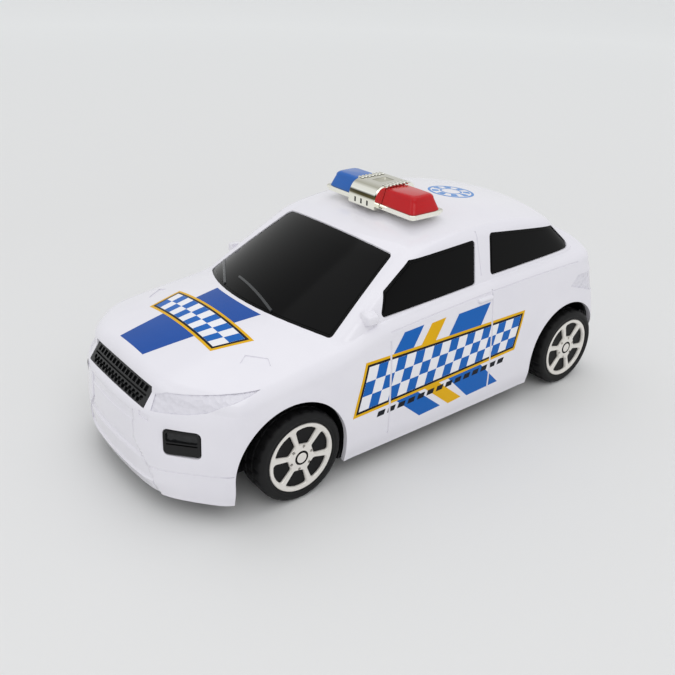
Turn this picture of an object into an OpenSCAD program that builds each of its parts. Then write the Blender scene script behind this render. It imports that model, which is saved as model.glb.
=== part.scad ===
// Toy police car: a moulded friction-drive car with a light bar on its roof.
// X runs forward, Y to the car's left, Z up; the origin is on the ground under the middle of the car.

/* [Body] */
// Overall length over the bumpers
body_l = 219; // [213:1:226]
// Overall width across the doors
body_w = 98.6; // [97:0.2:104]
// Height of the roof's crown above the ground
roof_z = 83; // [81:0.5:86]
// Height of the shell's lower edge above the ground
sill_z = 8; // [7.4:0.2:8.6]
// Wall of the shell
wall = 1.6; // [1.3:0.1:1.9]
// Height of the bumper's top edge, under the grille
bumper_top_z = 38.5; // [37:0.5:40]
// How far the grille's face leans back between the bumper and the bonnet
fascia_lean = 8.5; // [7:0.5:10]
// Height of the bonnet's front lip
bonnet_front_z = 51; // [50:0.5:52]
// Height where the bonnet meets the windscreen
cowl_z = 57.5; // [56.5:0.5:59]
// Distance of the windscreen's foot behind the front bumper
bonnet_l = 52.5; // [50:0.5:55]
// Run of the windscreen for each millimetre of rise
screen_rake = 2.1; // [1.9:0.05:2.2]
// Half width of the cabin at the windscreen's foot height
cabin_half = 44.8; // [43.5:0.1:45.6]
// Inward lean of the side windows for each millimetre of rise
side_lean = 0.33; // [0.28:0.01:0.36]
// Distance of the tail window's foot ahead of the rear bumper
deck_l = 9.5; // [8:0.5:12]
// Run of the tail window for each millimetre of rise
hatch_rake = 1.15; // [1:0.05:1.25]
// Width of the door gaps
groove_w = 0.8; // [0.6:0.1:1]
// Depth of the door gaps
groove_depth = 0.6; // [0.4:0.1:0.8]
// Depth of the lamps and the bumper panel below the shell's surface
relief = 0.4; // [0.3:0.05:0.6]
// Radius of the shoulder along the bonnet's sides
shoulder_r = 4.5; // [3.5:0.25:5.5]

/* [Windows] */
// Width of the shell's frame above the side windows
window_head = 3.4; // [3:0.1:4]
// Width of the pillar between the side windows
pillar_w = 10; // [9:0.5:11]
// Depth of the panes below the shell's surface
pane_recess = 0.6; // [0.4:0.05:0.8]
// Thickness of the window moulding
pane_t = 1.3; // [1:0.1:1.6]
// Gap between the window moulding and the shell's inner face
pane_fit = 0.15; // [0.1:0.05:0.3]
// Play round the panes in their openings
pane_play = 0.2; // [0.15:0.05:0.3]

/* [Wheels] */
// Distance of the front axle behind the front bumper
front_overhang = 47.1; // [45.6:0.1:48.6]
// Distance of the rear axle ahead of the rear bumper
rear_overhang = 27.9; // [26.9:0.1:29.4]
// Diameter of a tyre
tyre_d = 34.4; // [33.6:0.2:35.2]
// Width of a tyre
tyre_w = 12.4; // [11.6:0.2:13]
// Diameter of the silver disc
disc_d = 26.2; // [25.6:0.2:26.8]
// Thickness of the silver disc
disc_t = 1.1; // [0.9:0.1:1.4]
// Distance from the body's side in to the disc's face
wheel_inset = 1.3; // [1:0.1:1.6]
// Diameter of an axle
axle_d = 3; // [2.6:0.1:3.2]
// Running clearance round each turning shaft
run_play = 0.06; // [0.04:0.01:0.08]
// Radius of the wheel arches
arch_r = 22.4; // [22:0.1:23]
// Distance of each arch's centre ahead of its axle
arch_shift = 3.6; // [3:0.1:4]
// Number of windows in a disc
disc_windows = 6; // [5:1:7]
// Turn of each disc's windows at rest
disc_turn = 42; // [0:1:59]

/* [Chassis] */
// Thickness of the chassis plate
plate_t = 2.4; // [2:0.1:2.8]
// Gap between the chassis and the shell
plate_play = 0.4; // [0.3:0.05:0.6]
// Thickness of the wheel housings
liner_t = 1.2; // [1:0.1:1.4]
// Diameter of a screw's shank
screw_d = 2.4; // [2:0.1:2.6]
// Diameter of a screw's head
head_d = 4.8; // [4.4:0.1:5.2]
// Height of a screw's head
head_h = 1.3; // [1.1:0.1:1.5]
// Diameter of the shell's screw posts
boss_d = 6.6; // [6:0.2:7.2]
// Distance of the front screws behind the front bumper
boss_front_in = 18.5; // [16.5:0.5:19.5]
// Distance of the rear screws ahead of the rear bumper
boss_rear_in = 12; // [11:0.5:13]
// Distance of each screw from the car's middle line
boss_y = 19; // [17:0.5:22]
// Length of a chassis screw's shank
chassis_screw_l = 11; // [9:0.5:12]

/* [Friction drive] */
// Module of the gear teeth
gear_module = 0.6; // [0.58:0.01:0.62]
// Teeth on the axle gear
axle_teeth = 26; // [26:1:28]
// Teeth on each pinion
pinion_teeth = 10; // [10:1:12]
// Teeth on the idler's wheel
idler_teeth = 26; // [25:1:26]
// Thinning of each tooth, for free running
tooth_lash = 0.16; // [0.12:0.01:0.2]
// Diameter of the flywheel
flywheel_d = 17; // [15:0.5:17]
// Thickness of the flywheel
flywheel_t = 6.6; // [5.5:0.1:7]
// Diameter of the flywheel's boss
flywheel_boss_d = 5; // [4.4:0.2:6]
// Diameter of the idler's pin and the flywheel's shaft
pin_d = 2; // [1.8:0.1:2.2]
// Outer width of the gearbox
gearbox_w = 26; // [25.6:0.2:28]
// Wall of the gearbox
gearbox_wall = 1.6; // [1.4:0.1:1.8]
// Length of the shank of a screw that holds the gearbox
tab_screw_l = 5; // [4.4:0.2:5.6]
// Length of the shank of a screw that holds the gearbox cover
cover_screw_l = 8; // [7:0.5:9]

/* [Light bar] */
// Length of the light bar across the roof
bar_l = 53.2; // [51:0.2:56]
// Depth of the light bar from front to back
bar_d = 17; // [16:0.5:18]
// Height of the light bar above its seat on the roof
bar_h = 9.6; // [9:0.2:10.4]
// Distance of the light bar's middle behind the foot of the windscreen
bar_back = 68.2; // [66:0.2:70]
// Thickness of the light bar's plated tray
tray_t = 2.2; // [1.8:0.1:2.6]
// Width of the plated bridge between the lenses
bridge_w = 15.6; // [14:0.2:17]
// Diameter of the light bar's pegs
peg_d = 3.8; // [3.4:0.1:4.2]
// Distance of the light bar's pegs from the car's middle line
peg_y = 18; // [16:0.5:20]
// Wall of a lens
lens_wall = 1.2; // [1:0.1:1.5]
// Length of the shank of a light bar screw
bar_screw_l = 3.6; // [3.2:0.2:4]

/* [Trim] */
// Half width of the grille
grille_half = 21; // [19.5:0.5:22]
// Height of the grille along its lean
grille_h = 7.2; // [6.8:0.2:7.6]
// Thickness of the grille insert
grille_t = 2.4; // [2:0.1:3]
// Play round the grille and the fog lamps
trim_play = 0.25; // [0.2:0.05:0.35]
// Distance of each fog lamp from the car's middle line
fog_y = 34.6; // [33.5:0.2:35.6]
// Width of a fog lamp insert
fog_w = 12.8; // [12:0.2:13.4]
// Height of a fog lamp insert
fog_h = 9; // [8.4:0.2:9.6]
// Height of the fog lamps' middle above the ground
fog_z = 30; // [29:0.5:31]

/* [Hidden] */

// Half sizes of the body and the places of the axles
half_l = body_l / 2;
half_w = body_w / 2;
front_axle_x = half_l - front_overhang;
wheelbase = body_l - front_overhang - rear_overhang;
rear_axle_x = front_axle_x - wheelbase;
cowl_x = half_l - bonnet_l;
hatch_x = half_l - deck_l;
boss_front_x = half_l - boss_front_in;
boss_rear_x = half_l - boss_rear_in;
axle_z = tyre_d / 2;
disc_y = half_w - wheel_inset;
plate_z = sill_z + 0.6;
plate_top = plate_z + plate_t;

// Lean of the lower body's faces in from its box, by height
front_lean = [[sill_z, 1.6], [sill_z + 5, 0.2], [24, 0], [bumper_top_z, 1.2],
    [bumper_top_z + 7.5, 1.2 + fascia_lean * 0.65], [bonnet_front_z, 1.2 + fascia_lean]];
corner_lean = [[sill_z, 0.4], [sill_z + 5, 0], [24, 0.2], [bumper_top_z, 1.4], [bonnet_front_z, 5.5]];
side_tuck = [[sill_z, 1.5], [sill_z + 5, 0.2], [22, 0], [40, 0.4], [52, 1.4], [62, 3]];
rear_lean = [[sill_z, 2.4], [sill_z + 6, 0.4], [28, 0], [36, 1.2], [50, 4.5], [62, 9]];

// Corner planes of the lower body: the direction they face and their distance in from the box corner
front_corner = [0.75, 0.66];
front_corner_in = 15.9;
rear_corner = [-0.8, 0.6];
rear_corner_in = 9.5;

// Bow of each face: how fast it falls away from its middle
bumper_bow = 1 / 420;
tail_bow = 1 / 500;
door_bow = 1 / 9000;
screen_bow_low = 1 / 79;
screen_bow_high = 1 / 110;
hatch_bow = 1 / 160;
// Sweep of the windscreen pillars' front faces beside the screen
pillar_slope = 0.15;
glass_bow = 1 / 3600;

// Fall of the bonnet, the belt and the roof from the middle line out to the sides
bonnet_crown = 1 / 285;
belt_crown = 1 / 600;
roof_crown = 1 / 400;
// Middle of the cabin, from which its outline is measured, and the roof's highest point
cabin_x = (cowl_x - hatch_x - 1) / 2;
roof_peak_x = cabin_x - 6;

// Radius of the roof's side rails, and how far they stay under the roof
rail_r = 1.8;
rail_drop = 0.4;

// Sharpness of the corners where the faces meet
body_crease = 44;
cabin_crease = 22;

// Highest level of the upright cabin walls
cabin_top = roof_z - 7;
// Fall of the roof from its highest point to its front and rear edges, and their distances from it
roof_fall = [6.18, 5.66];
roof_reach = [cowl_x - (cabin_top - cowl_z) * screen_rake - roof_peak_x,
    hatch_x - (cabin_top - cowl_z) * hatch_rake + roof_peak_x];

// Half widths of the windscreen and the tail window at their feet and heads
screen_half = [cabin_half - 5.2, cabin_half - 13.2];
tail_half = [cabin_half - 11.8, cabin_half - 16.3];

function total(list, i = 0) = i < len(list) ? list[i] + total(list, i + 1) : 0;

// Share of the way to a bowed face that faces along a at distance d, for a step of a along and b across
function bowed(a, b, bow, d) = (a + sqrt(a * a + 4 * bow * b * b * d)) / (2 * d);

// Points once round a box from the middle of its front edge, over the left side, to the middle of its rear
function walk(front, rear, half, nf, ns, nr) = concat(
    [for (i = [0 : nf - 1]) [front, half * i / nf]],
    [for (i = [0 : ns - 1]) [front + (rear - front) * i / ns, half]],
    [for (i = [0 : nr]) [rear, half * (1 - i / nr)]]);

// Smooth step from 0 to 1
function ease(t) = let (c = min(1, max(0, t))) c * c * (3 - 2 * c);

// Bonnet, belt and deck: height of the lower body's top
function lower_top(x, y) = let (
        back = cowl_x - 7 - x,
        bend = back < 0 ? 0.0008 : 0.00044,
        crown = bonnet_crown + (belt_crown - bonnet_crown) * ease(back / 26)
    ) cowl_z + 0.9 + 0.1 * back - bend * back * back - crown * y * y;

// Roof: height of the cabin's top
function roof_top(x, y) = let (back = roof_peak_x - x, end = back < 0 ? 0 : 1)
    roof_z - roof_fall[end] * pow(back / roof_reach[end], 2) - roof_crown * y * y;

// Point of the lower body's outline at height z towards the box point d, moved in by inset
function lower_point(d, z, inset) = let (
        gauges = [
            bowed(d.x, d.y, bumper_bow, half_l - lookup(z, front_lean) - inset),
            bowed(-d.x, d.y, tail_bow, half_l - lookup(z, rear_lean) - inset),
            bowed(d.y, d.x, door_bow, half_w - lookup(z, side_tuck) - inset),
            max(0, front_corner * d) / (front_corner * [half_l, half_w] - front_corner_in
                - lookup(z, corner_lean) - inset),
            max(0, rear_corner * d) / (rear_corner * [-half_l, half_w] - rear_corner_in
                - lookup(z, rear_lean) - inset)
        ],
        k = pow(total([for (g = gauges) pow(g, body_crease)]), -1 / body_crease)
    ) [d.x * k, d.y * k];

// Point of the cabin's outline at height z towards the box point d, moved in by inset
function cabin_point(d, z, inset) = let (
        rise = z - cowl_z,
        front = cowl_x - rise * screen_rake - cabin_x - inset * norm([1, screen_rake]),
        rear = hatch_x - max(rise, 3) * hatch_rake + cabin_x - inset * norm([1, hatch_rake]),
        side = cabin_half - rise * side_lean - inset * norm([1, side_lean]),
        screen_bow = screen_bow_low + (screen_bow_high - screen_bow_low) * (rise + 4) / 22,
        edge = screen_half[0] + (screen_half[1] - screen_half[0]) * (rise + 3.5) / 21.3,
        pillar = max(0, d.x + pillar_slope * d.y) / (front - screen_bow * edge * edge + pillar_slope * edge),
        gauges = [min(bowed(d.x, d.y, screen_bow, front), pillar), bowed(-d.x, d.y, hatch_bow, rear),
            bowed(d.y, d.x, glass_bow, side)],
        k = pow(total([for (g = gauges) pow(g, cabin_crease)]), -1 / cabin_crease)
    ) [cabin_x + d.x * k, d.y * k];

// Outline steps: fine ones for the outer skin, coarse ones for the hidden inner faces
lower_fine = walk(half_l, -half_l, half_w, 8, 22, 6);
lower_coarse = walk(half_l, -half_l, half_w, 4, 11, 3);
cabin_front = cowl_x - cabin_x + 1;
cabin_rear = -hatch_x - cabin_x;
cabin_fine = walk(cabin_front, cabin_rear, cabin_half, 8, 14, 6);
cabin_coarse = walk(cabin_front, cabin_rear, cabin_half, 4, 7, 3);

// Height at the given share of the way from the bumper line to the start of the shoulder, above point p
function shoulder_z(p, share, inset) = let (top = lower_top(p.x, p.y) - inset - shoulder_r)
    bumper_top_z + (top - bumper_top_z) * share;

// Rings of the lower body, from the height low to the edge of its top
function lower_rings(steps, inset, low, shares, turns) = concat(
    [for (z = [low, sill_z + 5, 24, bumper_top_z]) [for (d = steps)
        let (p = lower_point(d, z, inset)) [p.x, p.y, z]]],
    [for (share = shares) [for (d = steps)
        let (z = shoulder_z(lower_point(d, bumper_top_z, inset), share, inset),
            p = lower_point(d, z, inset))
        [p.x, p.y, z]]],
    [for (a = turns) [for (d = steps)
        let (z = shoulder_z(lower_point(d, bumper_top_z, inset), 1, inset),
            p = lower_point(d, z, inset + shoulder_r * (1 - cos(a))))
        [p.x, p.y, a == 90 ? lower_top(p.x, p.y) - inset : z + shoulder_r * sin(a)]]]);

// Rings of the cabin, from the height low to the edge of its roof, which follows the roof's fall
function cabin_rings(steps, inset, low, turns) = let (
        top = cabin_top - inset,
        levels = [for (d = steps) let (p = cabin_point(d, top, inset))
            min(top, roof_top(p.x, p.y) - inset - rail_r - rail_drop)],
        count = len(steps) - 1
    ) concat(
    [for (z = [low, cowl_z, cowl_z + 8]) [for (d = steps)
        let (p = cabin_point(d, z, inset)) [p.x, p.y, z]]],
    [for (drop = [4, 0]) [for (i = [0 : count])
        let (z = levels[i] - drop, p = cabin_point(steps[i], z, inset)) [p.x, p.y, z]]],
    [for (a = turns) [for (i = [0 : count])
        let (z = levels[i] + rail_r * sin(a), p = cabin_point(steps[i], z, inset + rail_r * (1 - cos(a))))
        [p.x, p.y, a == 90 ? roof_top(p.x, p.y) - inset : z]]]);

// Closed solid from half rings that run from the front middle line round the left side to the rear one.
// The right side mirrors the left, and the last ring is roofed by rows of points at the height top(x, y).
module ring_solid(rings, top, spans = 8) {
    n = len(rings[0]) - 1;
    loop = 2 * n;
    last = len(rings) - 1;
    sides = [for (r = rings) each concat(r, [for (i = [n - 1 : -1 : 1]) [r[i].x, -r[i].y, r[i].z]])];
    rows = [for (i = [1 : n - 1]) for (j = [1 : spans - 1])
        let (p = rings[last][i], y = p.y * (1 - 2 * j / spans)) [p.x, y, top(p.x, y)]];
    function at(r, i) = r * loop + i % loop;
    function row(i, j) = j == 0 ? at(last, i) : j == spans ? at(last, loop - i)
        : (last + 1) * loop + (i - 1) * (spans - 1) + j - 1;
    function halves(a, b, c, d, left) = left ? [[a, b, c], [a, c, d]] : [[a, b, d], [b, c, d]];
    walls = [for (r = [0 : last - 1]) for (i = [0 : loop - 1]) each
        halves(at(r, i), at(r, i + 1), at(r + 1, i + 1), at(r + 1, i), i < n)];
    roof = [for (i = [1 : n - 2]) for (j = [0 : spans - 1]) each
        halves(row(i, j), row(i + 1, j), row(i + 1, j + 1), row(i, j + 1), 2 * j < spans)];
    ends = [for (j = [0 : spans - 1]) each
        [[at(last, 0), row(1, j), row(1, j + 1)], [row(n - 1, j), at(last, n), row(n - 1, j + 1)]]];
    floor = [[for (i = [loop - 1 : -1 : 0]) i]];
    polyhedron(concat(sides, rows), [for (f = concat(walls, roof, ends, floor))
        [for (k = [len(f) - 1 : -1 : 0]) f[k]]]);
}

// Solid lower body and cabin, moved in by inset and starting at the height low
module lower_solid(inset = 0, low = sill_z) {
    ring_solid(lower_rings(lower_fine, inset, low, [0.5, 1], [35, 65, 90]),
        function(x, y) lower_top(x, y) - inset);
}

module cabin_solid(inset = 0, low = cowl_z - 9) {
    ring_solid(cabin_rings(cabin_fine, inset, low, [45, 90]), function(x, y) roof_top(x, y) - inset);
}

// The same, for inner faces, with fewer steps
module lower_core(inset, low) {
    ring_solid(lower_rings(lower_coarse, inset, low, [1], [90]), function(x, y) lower_top(x, y) - inset, 4);
}

module cabin_core(inset, low) {
    ring_solid(cabin_rings(cabin_coarse, inset, low, [90]), function(x, y) roof_top(x, y) - inset, 4);
}

// Corners of the side windows in side view, moved out by grow
window_front_x = cowl_x - 31;
function sill_line(x) = lower_top(x, cabin_half) + 1.6;
function head_line(x) = roof_top(x, cabin_half - 7) - window_head;
function front_window() = let (front = window_front_x, top = front - 17.5, rear = front - 46)
    [[front - 2.3, sill_line(front) + 1], [front - 5, sill_line(front) + 7.4], [top, head_line(top) + 0.8],
    [rear - 2.5, head_line(rear) - 1.6], [rear, sill_line(rear)]];
function rear_window() = let (front = window_front_x - 48 - pillar_w, tail = 29.5 - hatch_x)
    [[front - 2, head_line(front) - 0.8], [front, sill_line(front) + 1.2],
    [tail - 8.5, sill_line(tail) + 1.6], [tail, head_line(tail) - 0.8]];

// Prism through the left side from a side-view outline with round corners
module side_prism(points, grow = 0) {
    hull() for (p = points) translate([p.x, half_w / 2, p.y]) rotate([-90, 0, 0])
        cylinder(r = 1.6 + grow, h = half_w, $fn = 20);
}

// Windscreen and tail window openings, moved out by grow
module screen_prism(grow = 0) {
    spread = [for (i = [-5 : 5]) i / 5];
    foot = [for (s = spread) let (y = screen_half[0] * s) [cowl_x - 0.6 - y * y / 132, y]];
    head = [for (s = spread) let (y = screen_half[1] * s) [cowl_x - 43 - y * y / 290, -y]];
    translate([0, 0, cowl_z - 9]) linear_extrude(40) offset(r = 2 + grow, $fn = 20) offset(delta = -2)
        polygon(concat(foot, head));
}

module tail_prism(grow = 0) {
    low = cowl_z + 6.5;
    high = roof_z - 9.5;
    corners = [[-tail_half[0], low], [tail_half[0], low], [tail_half[1], high], [-tail_half[1], high]];
    translate([-half_l, 0, 0]) rotate([90, 0, 90]) linear_extrude(48) offset(r = 2.5 + grow, $fn = 20)
        offset(delta = -2.5) polygon(corners);
}

module window_prisms(grow = 0) {
    both_sides() side_prism(front_window(), grow);
    both_sides() side_prism(rear_window(), grow);
    screen_prism(grow);
    tail_prism(grow);
}

// Rounded outline: a convex polygon, listed anticlockwise, moved out by r with true arcs at its corners
module rounded(points, r) {
    n = len(points);
    polygon([for (i = [0 : n - 1]) let (a = points[i], b = points[(i + 1) % n], t = (b - a) / norm(b - a))
        each [a + r * [t.y, -t.x], b + r * [t.y, -t.x]]]);
    for (p = points) translate(p) circle(r = r, $fn = 32);
}

// Corner centres of a rectangle of outer size w by h whose corners have the radius r
function box_corners(w, h, r) = [for (s = [[-1, -1], [1, -1], [1, 1], [-1, 1]])
    [s.x * (w / 2 - r), s.y * (h / 2 - r)]];

// Cylinder along the car's width from y0 to y1
module across(r, y0, y1) {
    translate([0, y0, 0]) rotate([-90, 0, 0]) cylinder(r = r, h = y1 - y0, $fn = 64);
}

// Side-view outline given a thickness along the car's width, from y0 to y1
module upright(y0, y1) {
    translate([0, y1, 0]) rotate([90, 0, 0]) linear_extrude(y1 - y0) children();
}

// Copies on the car's left and right sides
module both_sides() {
    for (s = [0, 1]) mirror([0, s, 0]) children();
}

// Self-tapping screw with its head's top at the origin and its shank pointing down
module screw(d, length) {
    translate([0, 0, -head_h]) cylinder(d = head_d, h = head_h, $fn = 32);
    translate([0, 0, -head_h - length]) cylinder(d = d, h = length + head_h / 2, $fn = 24);
}

// Slab of the grille's curved face, from depth behind it to proud in front, moved out by play
grille_tilt = atan(fascia_lean * 0.65 / 7.5);
grille_z = bumper_top_z + 4.4;
grille_x = half_l - lookup(grille_z, front_lean) - 0.3;
grille_bend = 1 / (2 * bumper_bow);

module on_grille() {
    translate([grille_x, 0, grille_z]) rotate([0, -grille_tilt, 0]) translate([-grille_bend, 0, 0])
        children();
}

module grille_slab(play, depth, proud) {
    turn = asin((grille_half + play) / grille_bend);
    on_grille() translate([0, 0, -grille_h / 2 - play]) rotate([0, 0, -turn])
        rotate_extrude(angle = 2 * turn, $fn = 240)
        translate([grille_bend - depth, 0]) square([depth + proud, grille_h + 2 * play]);
}

// Place of the left fog lamp on the bumper's corner, facing along the corner's normal
corner_d = front_corner * [half_l, half_w] - front_corner_in - lookup(fog_z, corner_lean);
fog_x = (corner_d - front_corner.y * fog_y) / front_corner.x;

module on_corner() {
    translate([fog_x, fog_y, fog_z]) rotate([90, 0, 90 + atan2(front_corner.y, front_corner.x)]) children();
}

module fog_prism(play, back, front) {
    on_corner() translate([0, 0, -back]) linear_extrude(back + front)
        rounded(box_corners(fog_w + 2 * play, fog_h + 2 * play, 1.6 + play), 1.6 + play);
}

// Lines of the door gaps in side view, as pairs of points
door_front_x = window_front_x - 2;
door_rear_x = window_front_x - 54;
door_lines = [[[door_front_x, sill_z + 5], [door_front_x, sill_line(door_front_x) - 9]],
    [[door_rear_x - 1.5, sill_z + 7], [door_rear_x, sill_line(door_rear_x) - 2]]];

// Lines of the tailgate and the rear bumper seen from behind, as pairs of points
gate = [[cabin_half - 7.8, cowl_z - 2.5], [cabin_half - 10.8, bumper_top_z - 5.5], [0, bumper_top_z - 6.3]];
step = [[half_w - 5, bumper_top_z - 14], [half_w - 19, bumper_top_z - 14.9], [0, bumper_top_z - 15.3]];
tail_lines = [for (l = [gate, step]) for (i = [0, 1]) [l[i], l[i + 1]]];

module shell_grooves() {
    difference() {
        both_sides() {
            for (l = door_lines) hull() for (p = l) translate([p.x, half_w - 4, p.y])
                rotate([-90, 0, 0]) cylinder(d = groove_w, h = 6, $fn = 8);
            for (l = tail_lines) hull() for (p = l) translate([-half_l - 1, p.x, p.y])
                rotate([0, 90, 0]) cylinder(d = groove_w, h = 16, $fn = 8);
        }
        lower_solid(groove_depth);
    }
}

// Outlines of the lamps moulded on the corners, across and up from the bumper line
headlight = [[-11.2, 0.8], [2.2, 2], [8.6, 3.3], [13.4, 5.9], [21, 8.1], [23.4, 9.1], [14.2, 9],
    [-5.6, 7.7], [-10.2, 5.8]];
taillight = [[-14, 2], [-1, 0.5], [12, 3.5], [21, 8.5], [18, 12.5], [0, 12.5], [-13, 10.5]];

// Middle of the tail lamp on the rear corner
tail_across = [rear_corner.y, -rear_corner.x];
tail_at = [-half_l, half_w] - rear_corner * rear_corner_in - tail_across * 3.7;

// Sunk panel in the middle of the bumper, between its ridges, and its outline's left half from above
panel = [[15.9, bumper_top_z - 1.5], [15.9, bumper_top_z - 11.8], [23.2, sill_z + 10.3],
    [25.6, sill_z + 1.4]];
ridge_zs = [sill_z + 5.8, sill_z + 14.5, bumper_top_z - 5.5];
ridge_h = 1.4;

module bumper_panel() {
    translate([half_l - 16, 0, 0]) rotate([90, 0, 90]) linear_extrude(20) difference() {
        polygon(concat(panel, [for (i = [len(panel) - 1 : -1 : 0]) [-panel[i].x, panel[i].y]]));
        for (z = ridge_zs) translate([-half_w, z - ridge_h / 2]) square([body_w, ridge_h]);
    }
}

module shell_relief() {
    difference() {
        union() {
            both_sides() on_corner() translate([0, bumper_top_z - fog_z, 0])
                linear_extrude(36, center = true) polygon(headlight);
            both_sides() translate([tail_at.x, tail_at.y, bumper_top_z])
                rotate([90, 0, atan2(tail_across.y, tail_across.x)])
                linear_extrude(36, center = true) polygon(taillight);
            bumper_panel();
        }
        lower_solid(relief);
    }
}

module door_mirror() {
    translate([window_front_x + 4.6, cabin_half, sill_line(window_front_x) + 0.4]) hull() {
        for (x = [-1.6, 1.6]) for (z = [-0.8, 0.8]) translate([x, 0, z]) sphere(r = 1.2, $fn = 12);
        translate([0, -3, -0.6]) cube([6, 1, 5], center = true);
    }
}

module door_handle() {
    translate([door_rear_x + 4, half_w - 3, sill_line(door_rear_x) - 5]) hull() for (x = [-3.2, 3.2])
        translate([x, 0, 0]) rotate([-90, 0, 0]) cylinder(r1 = 1.5, r2 = 0.9, h = 2.2, $fn = 12);
}

// Hollow post for a chassis screw, with a web to the wall beside it
module shell_boss(x, web_to, top) {
    intersection() {
        difference() {
            union() {
                translate([x, boss_y, plate_top + 0.1]) cylinder(d = boss_d, h = top - plate_top, $fn = 20);
                translate([min(x, web_to), boss_y - 0.7, plate_top + 4])
                    cube([abs(web_to - x), 1.4, top - plate_top - 4]);
            }
            translate([x, boss_y, 0]) cylinder(d = screw_d + 0.2, h = plate_top + 14, $fn = 16);
        }
        lower_solid(wall / 2);
    }
}

// Moulded shell: bonnet, doors, roof and tail in one piece, open below
module body_shell() {
    color("white") difference() {
        union() {
            difference() {
                union() {
                    lower_solid();
                    cabin_solid();
                    both_sides() door_mirror();
                    both_sides() door_handle();
                }
                lower_core(wall, sill_z - 1);
                cabin_core(wall, cowl_z - 10);
            }
            both_sides() shell_boss(boss_front_x, half_l, roof_z);
            both_sides() shell_boss(-boss_rear_x, -half_l, cowl_z - 8);
        }
        window_prisms();
        shell_grooves();
        shell_relief();
        at_arches() {
            across(arch_r, liner_in, half_w + 1);
            translate([-arch_r, liner_in, sill_z - axle_z - 1])
                cube([2 * arch_r, half_w - liner_in + 1, axle_z - sill_z + 1]);
        }
        grille_slab(trim_play, 12, 4);
        both_sides() fog_prism(trim_play, 8, 4);
        both_sides() translate([bar_x, peg_y, roof_z - 9]) cylinder(d = peg_d + 0.5, h = 10, $fn = 24);
    }
}

// Opening in the top of the window moulding, round the light bar's pegs
opening_rear_x = 34 - hatch_x;
opening_front_x = cowl_x - 53;
opening_half = cabin_half - 14.8;

// Black window moulding: one liner inside the cabin, with raised panes in the openings
module window_insert() {
    low = cowl_z - 5;
    color("black") difference() {
        union() {
            difference() {
                union() {
                    cabin_core(wall + pane_fit, low);
                    intersection() {
                        cabin_solid(pane_recess, low);
                        window_prisms(-pane_play);
                    }
                }
                cabin_core(wall + pane_fit + pane_t, low - 1);
            }
            both_sides() for (x = [cowl_x - 40, 40 - hatch_x]) hull()
                for (y = [cabin_half - 4, cabin_half - 9]) translate([x, y, low])
                    cylinder(r = 3, h = 1.6, $fn = 16);
        }
        translate([opening_rear_x, -opening_half, cabin_top - 4])
            cube([opening_front_x - opening_rear_x, 2 * opening_half, roof_z - cabin_top + 4]);
        both_sides() translate([cowl_x - 33, cabin_half - 3, low - 1]) cube([30, 6, 4.4]);
    }
}

module grille_insert() {
    color("#202225") difference() {
        grille_slab(0, grille_t, 0);
        for (i = [-4 : 4]) on_grille() rotate([0, 0, i * 1.24]) translate([grille_bend - 0.9, 0, 0]) {
            translate([0, -1.9, 1]) cube([2, 3.8, 1.9]);
            translate([0, 0, -2]) rotate([0, 90, 0]) cylinder(r = 1.5, h = 2, $fn = 6);
        }
        on_grille() rotate([0, 0, -5.4]) rotate_extrude(angle = 10.8, $fn = 240)
            translate([grille_bend - 0.6, -0.1]) square([2, 0.5]);
    }
}

// Fog lamp insert: a black block with a stepped face
module fog_insert() {
    color("#17181a") difference() {
        fog_prism(0, 3, -0.3);
        on_corner() translate([-fog_w / 2 + 1, 0.2, -0.9]) cube([fog_w - 2, fog_h / 2 - 1.2, 2]);
    }
}

module fog_lamp_left() { fog_insert(); }
module fog_lamp_right() { mirror([0, 1, 0]) fog_insert(); }

// Plan of the space inside the shell, shrunk by its play
module floor_plan() {
    left = [for (d = lower_coarse) lower_point(d, sill_z + 1, wall + plate_play)];
    polygon(concat(left, [for (i = [len(left) - 2 : -1 : 1]) [left[i].x, -left[i].y]]));
}

// Chassis: floor plate, wheel housings, front axle bearings and gearbox posts in one black moulding
liner_r = arch_r + 0.2;
liner_in = disc_y - tyre_w - 4.5;
bearing_r = axle_d / 2 + 2.5;
bearing_in = liner_in - 5;
bearing_out = liner_in + liner_t + 1.4;
bay_gap = 0.4;

// Middles of the four wheel arches
module at_arches() {
    both_sides() for (x = [front_axle_x, rear_axle_x]) translate([x + arch_shift, 0, axle_z]) children();
}

module front_bearings() {
    both_sides() translate([front_axle_x, 0, axle_z]) across(bearing_r, bearing_in, bearing_out);
}

module chassis() {
    color("#1b1b1d") difference() {
        union() {
            difference() {
                intersection() {
                    union() {
                        translate([0, 0, plate_z]) linear_extrude(plate_t) floor_plan();
                        at_arches() across(liner_r + liner_t, liner_in, half_w - 3);
                    }
                    translate([0, 0, plate_z]) linear_extrude(axle_z + liner_r + 2) floor_plan();
                }
                at_arches() across(liner_r, liner_in + liner_t, half_w);
            }
            front_bearings();
            gearbox_tabs_at() translate([0, 0, plate_z + 0.5])
                cylinder(r = 3, h = tab_z - plate_z - 0.5, $fn = 32);
        }
        translate([front_axle_x, 0, axle_z]) across(axle_d / 2 + run_play, -half_w, half_w);
        translate([rear_axle_x, 0, axle_z]) across(axle_d / 2 + 1, -half_w, half_w);
        translate([box_x0 - bay_gap, -gearbox_w / 2 - bay_gap, 0])
            cube([box_x1 - box_x0 + 2 * bay_gap, gearbox_w + head_h + 2 * bay_gap, plate_top + 1]);
        gearbox_tabs_at() cylinder(d = screw_d + 0.3, h = tab_z + 1, $fn = 24);
        chassis_screws_at() {
            translate([0, 0, -plate_t - 1]) cylinder(d = screw_d + 0.4, h = plate_t + 2, $fn = 24);
            translate([0, 0, -plate_t - 1]) cylinder(d = head_d + 0.5, h = 1 + head_h + 0.1, $fn = 32);
        }
    }
}

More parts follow.
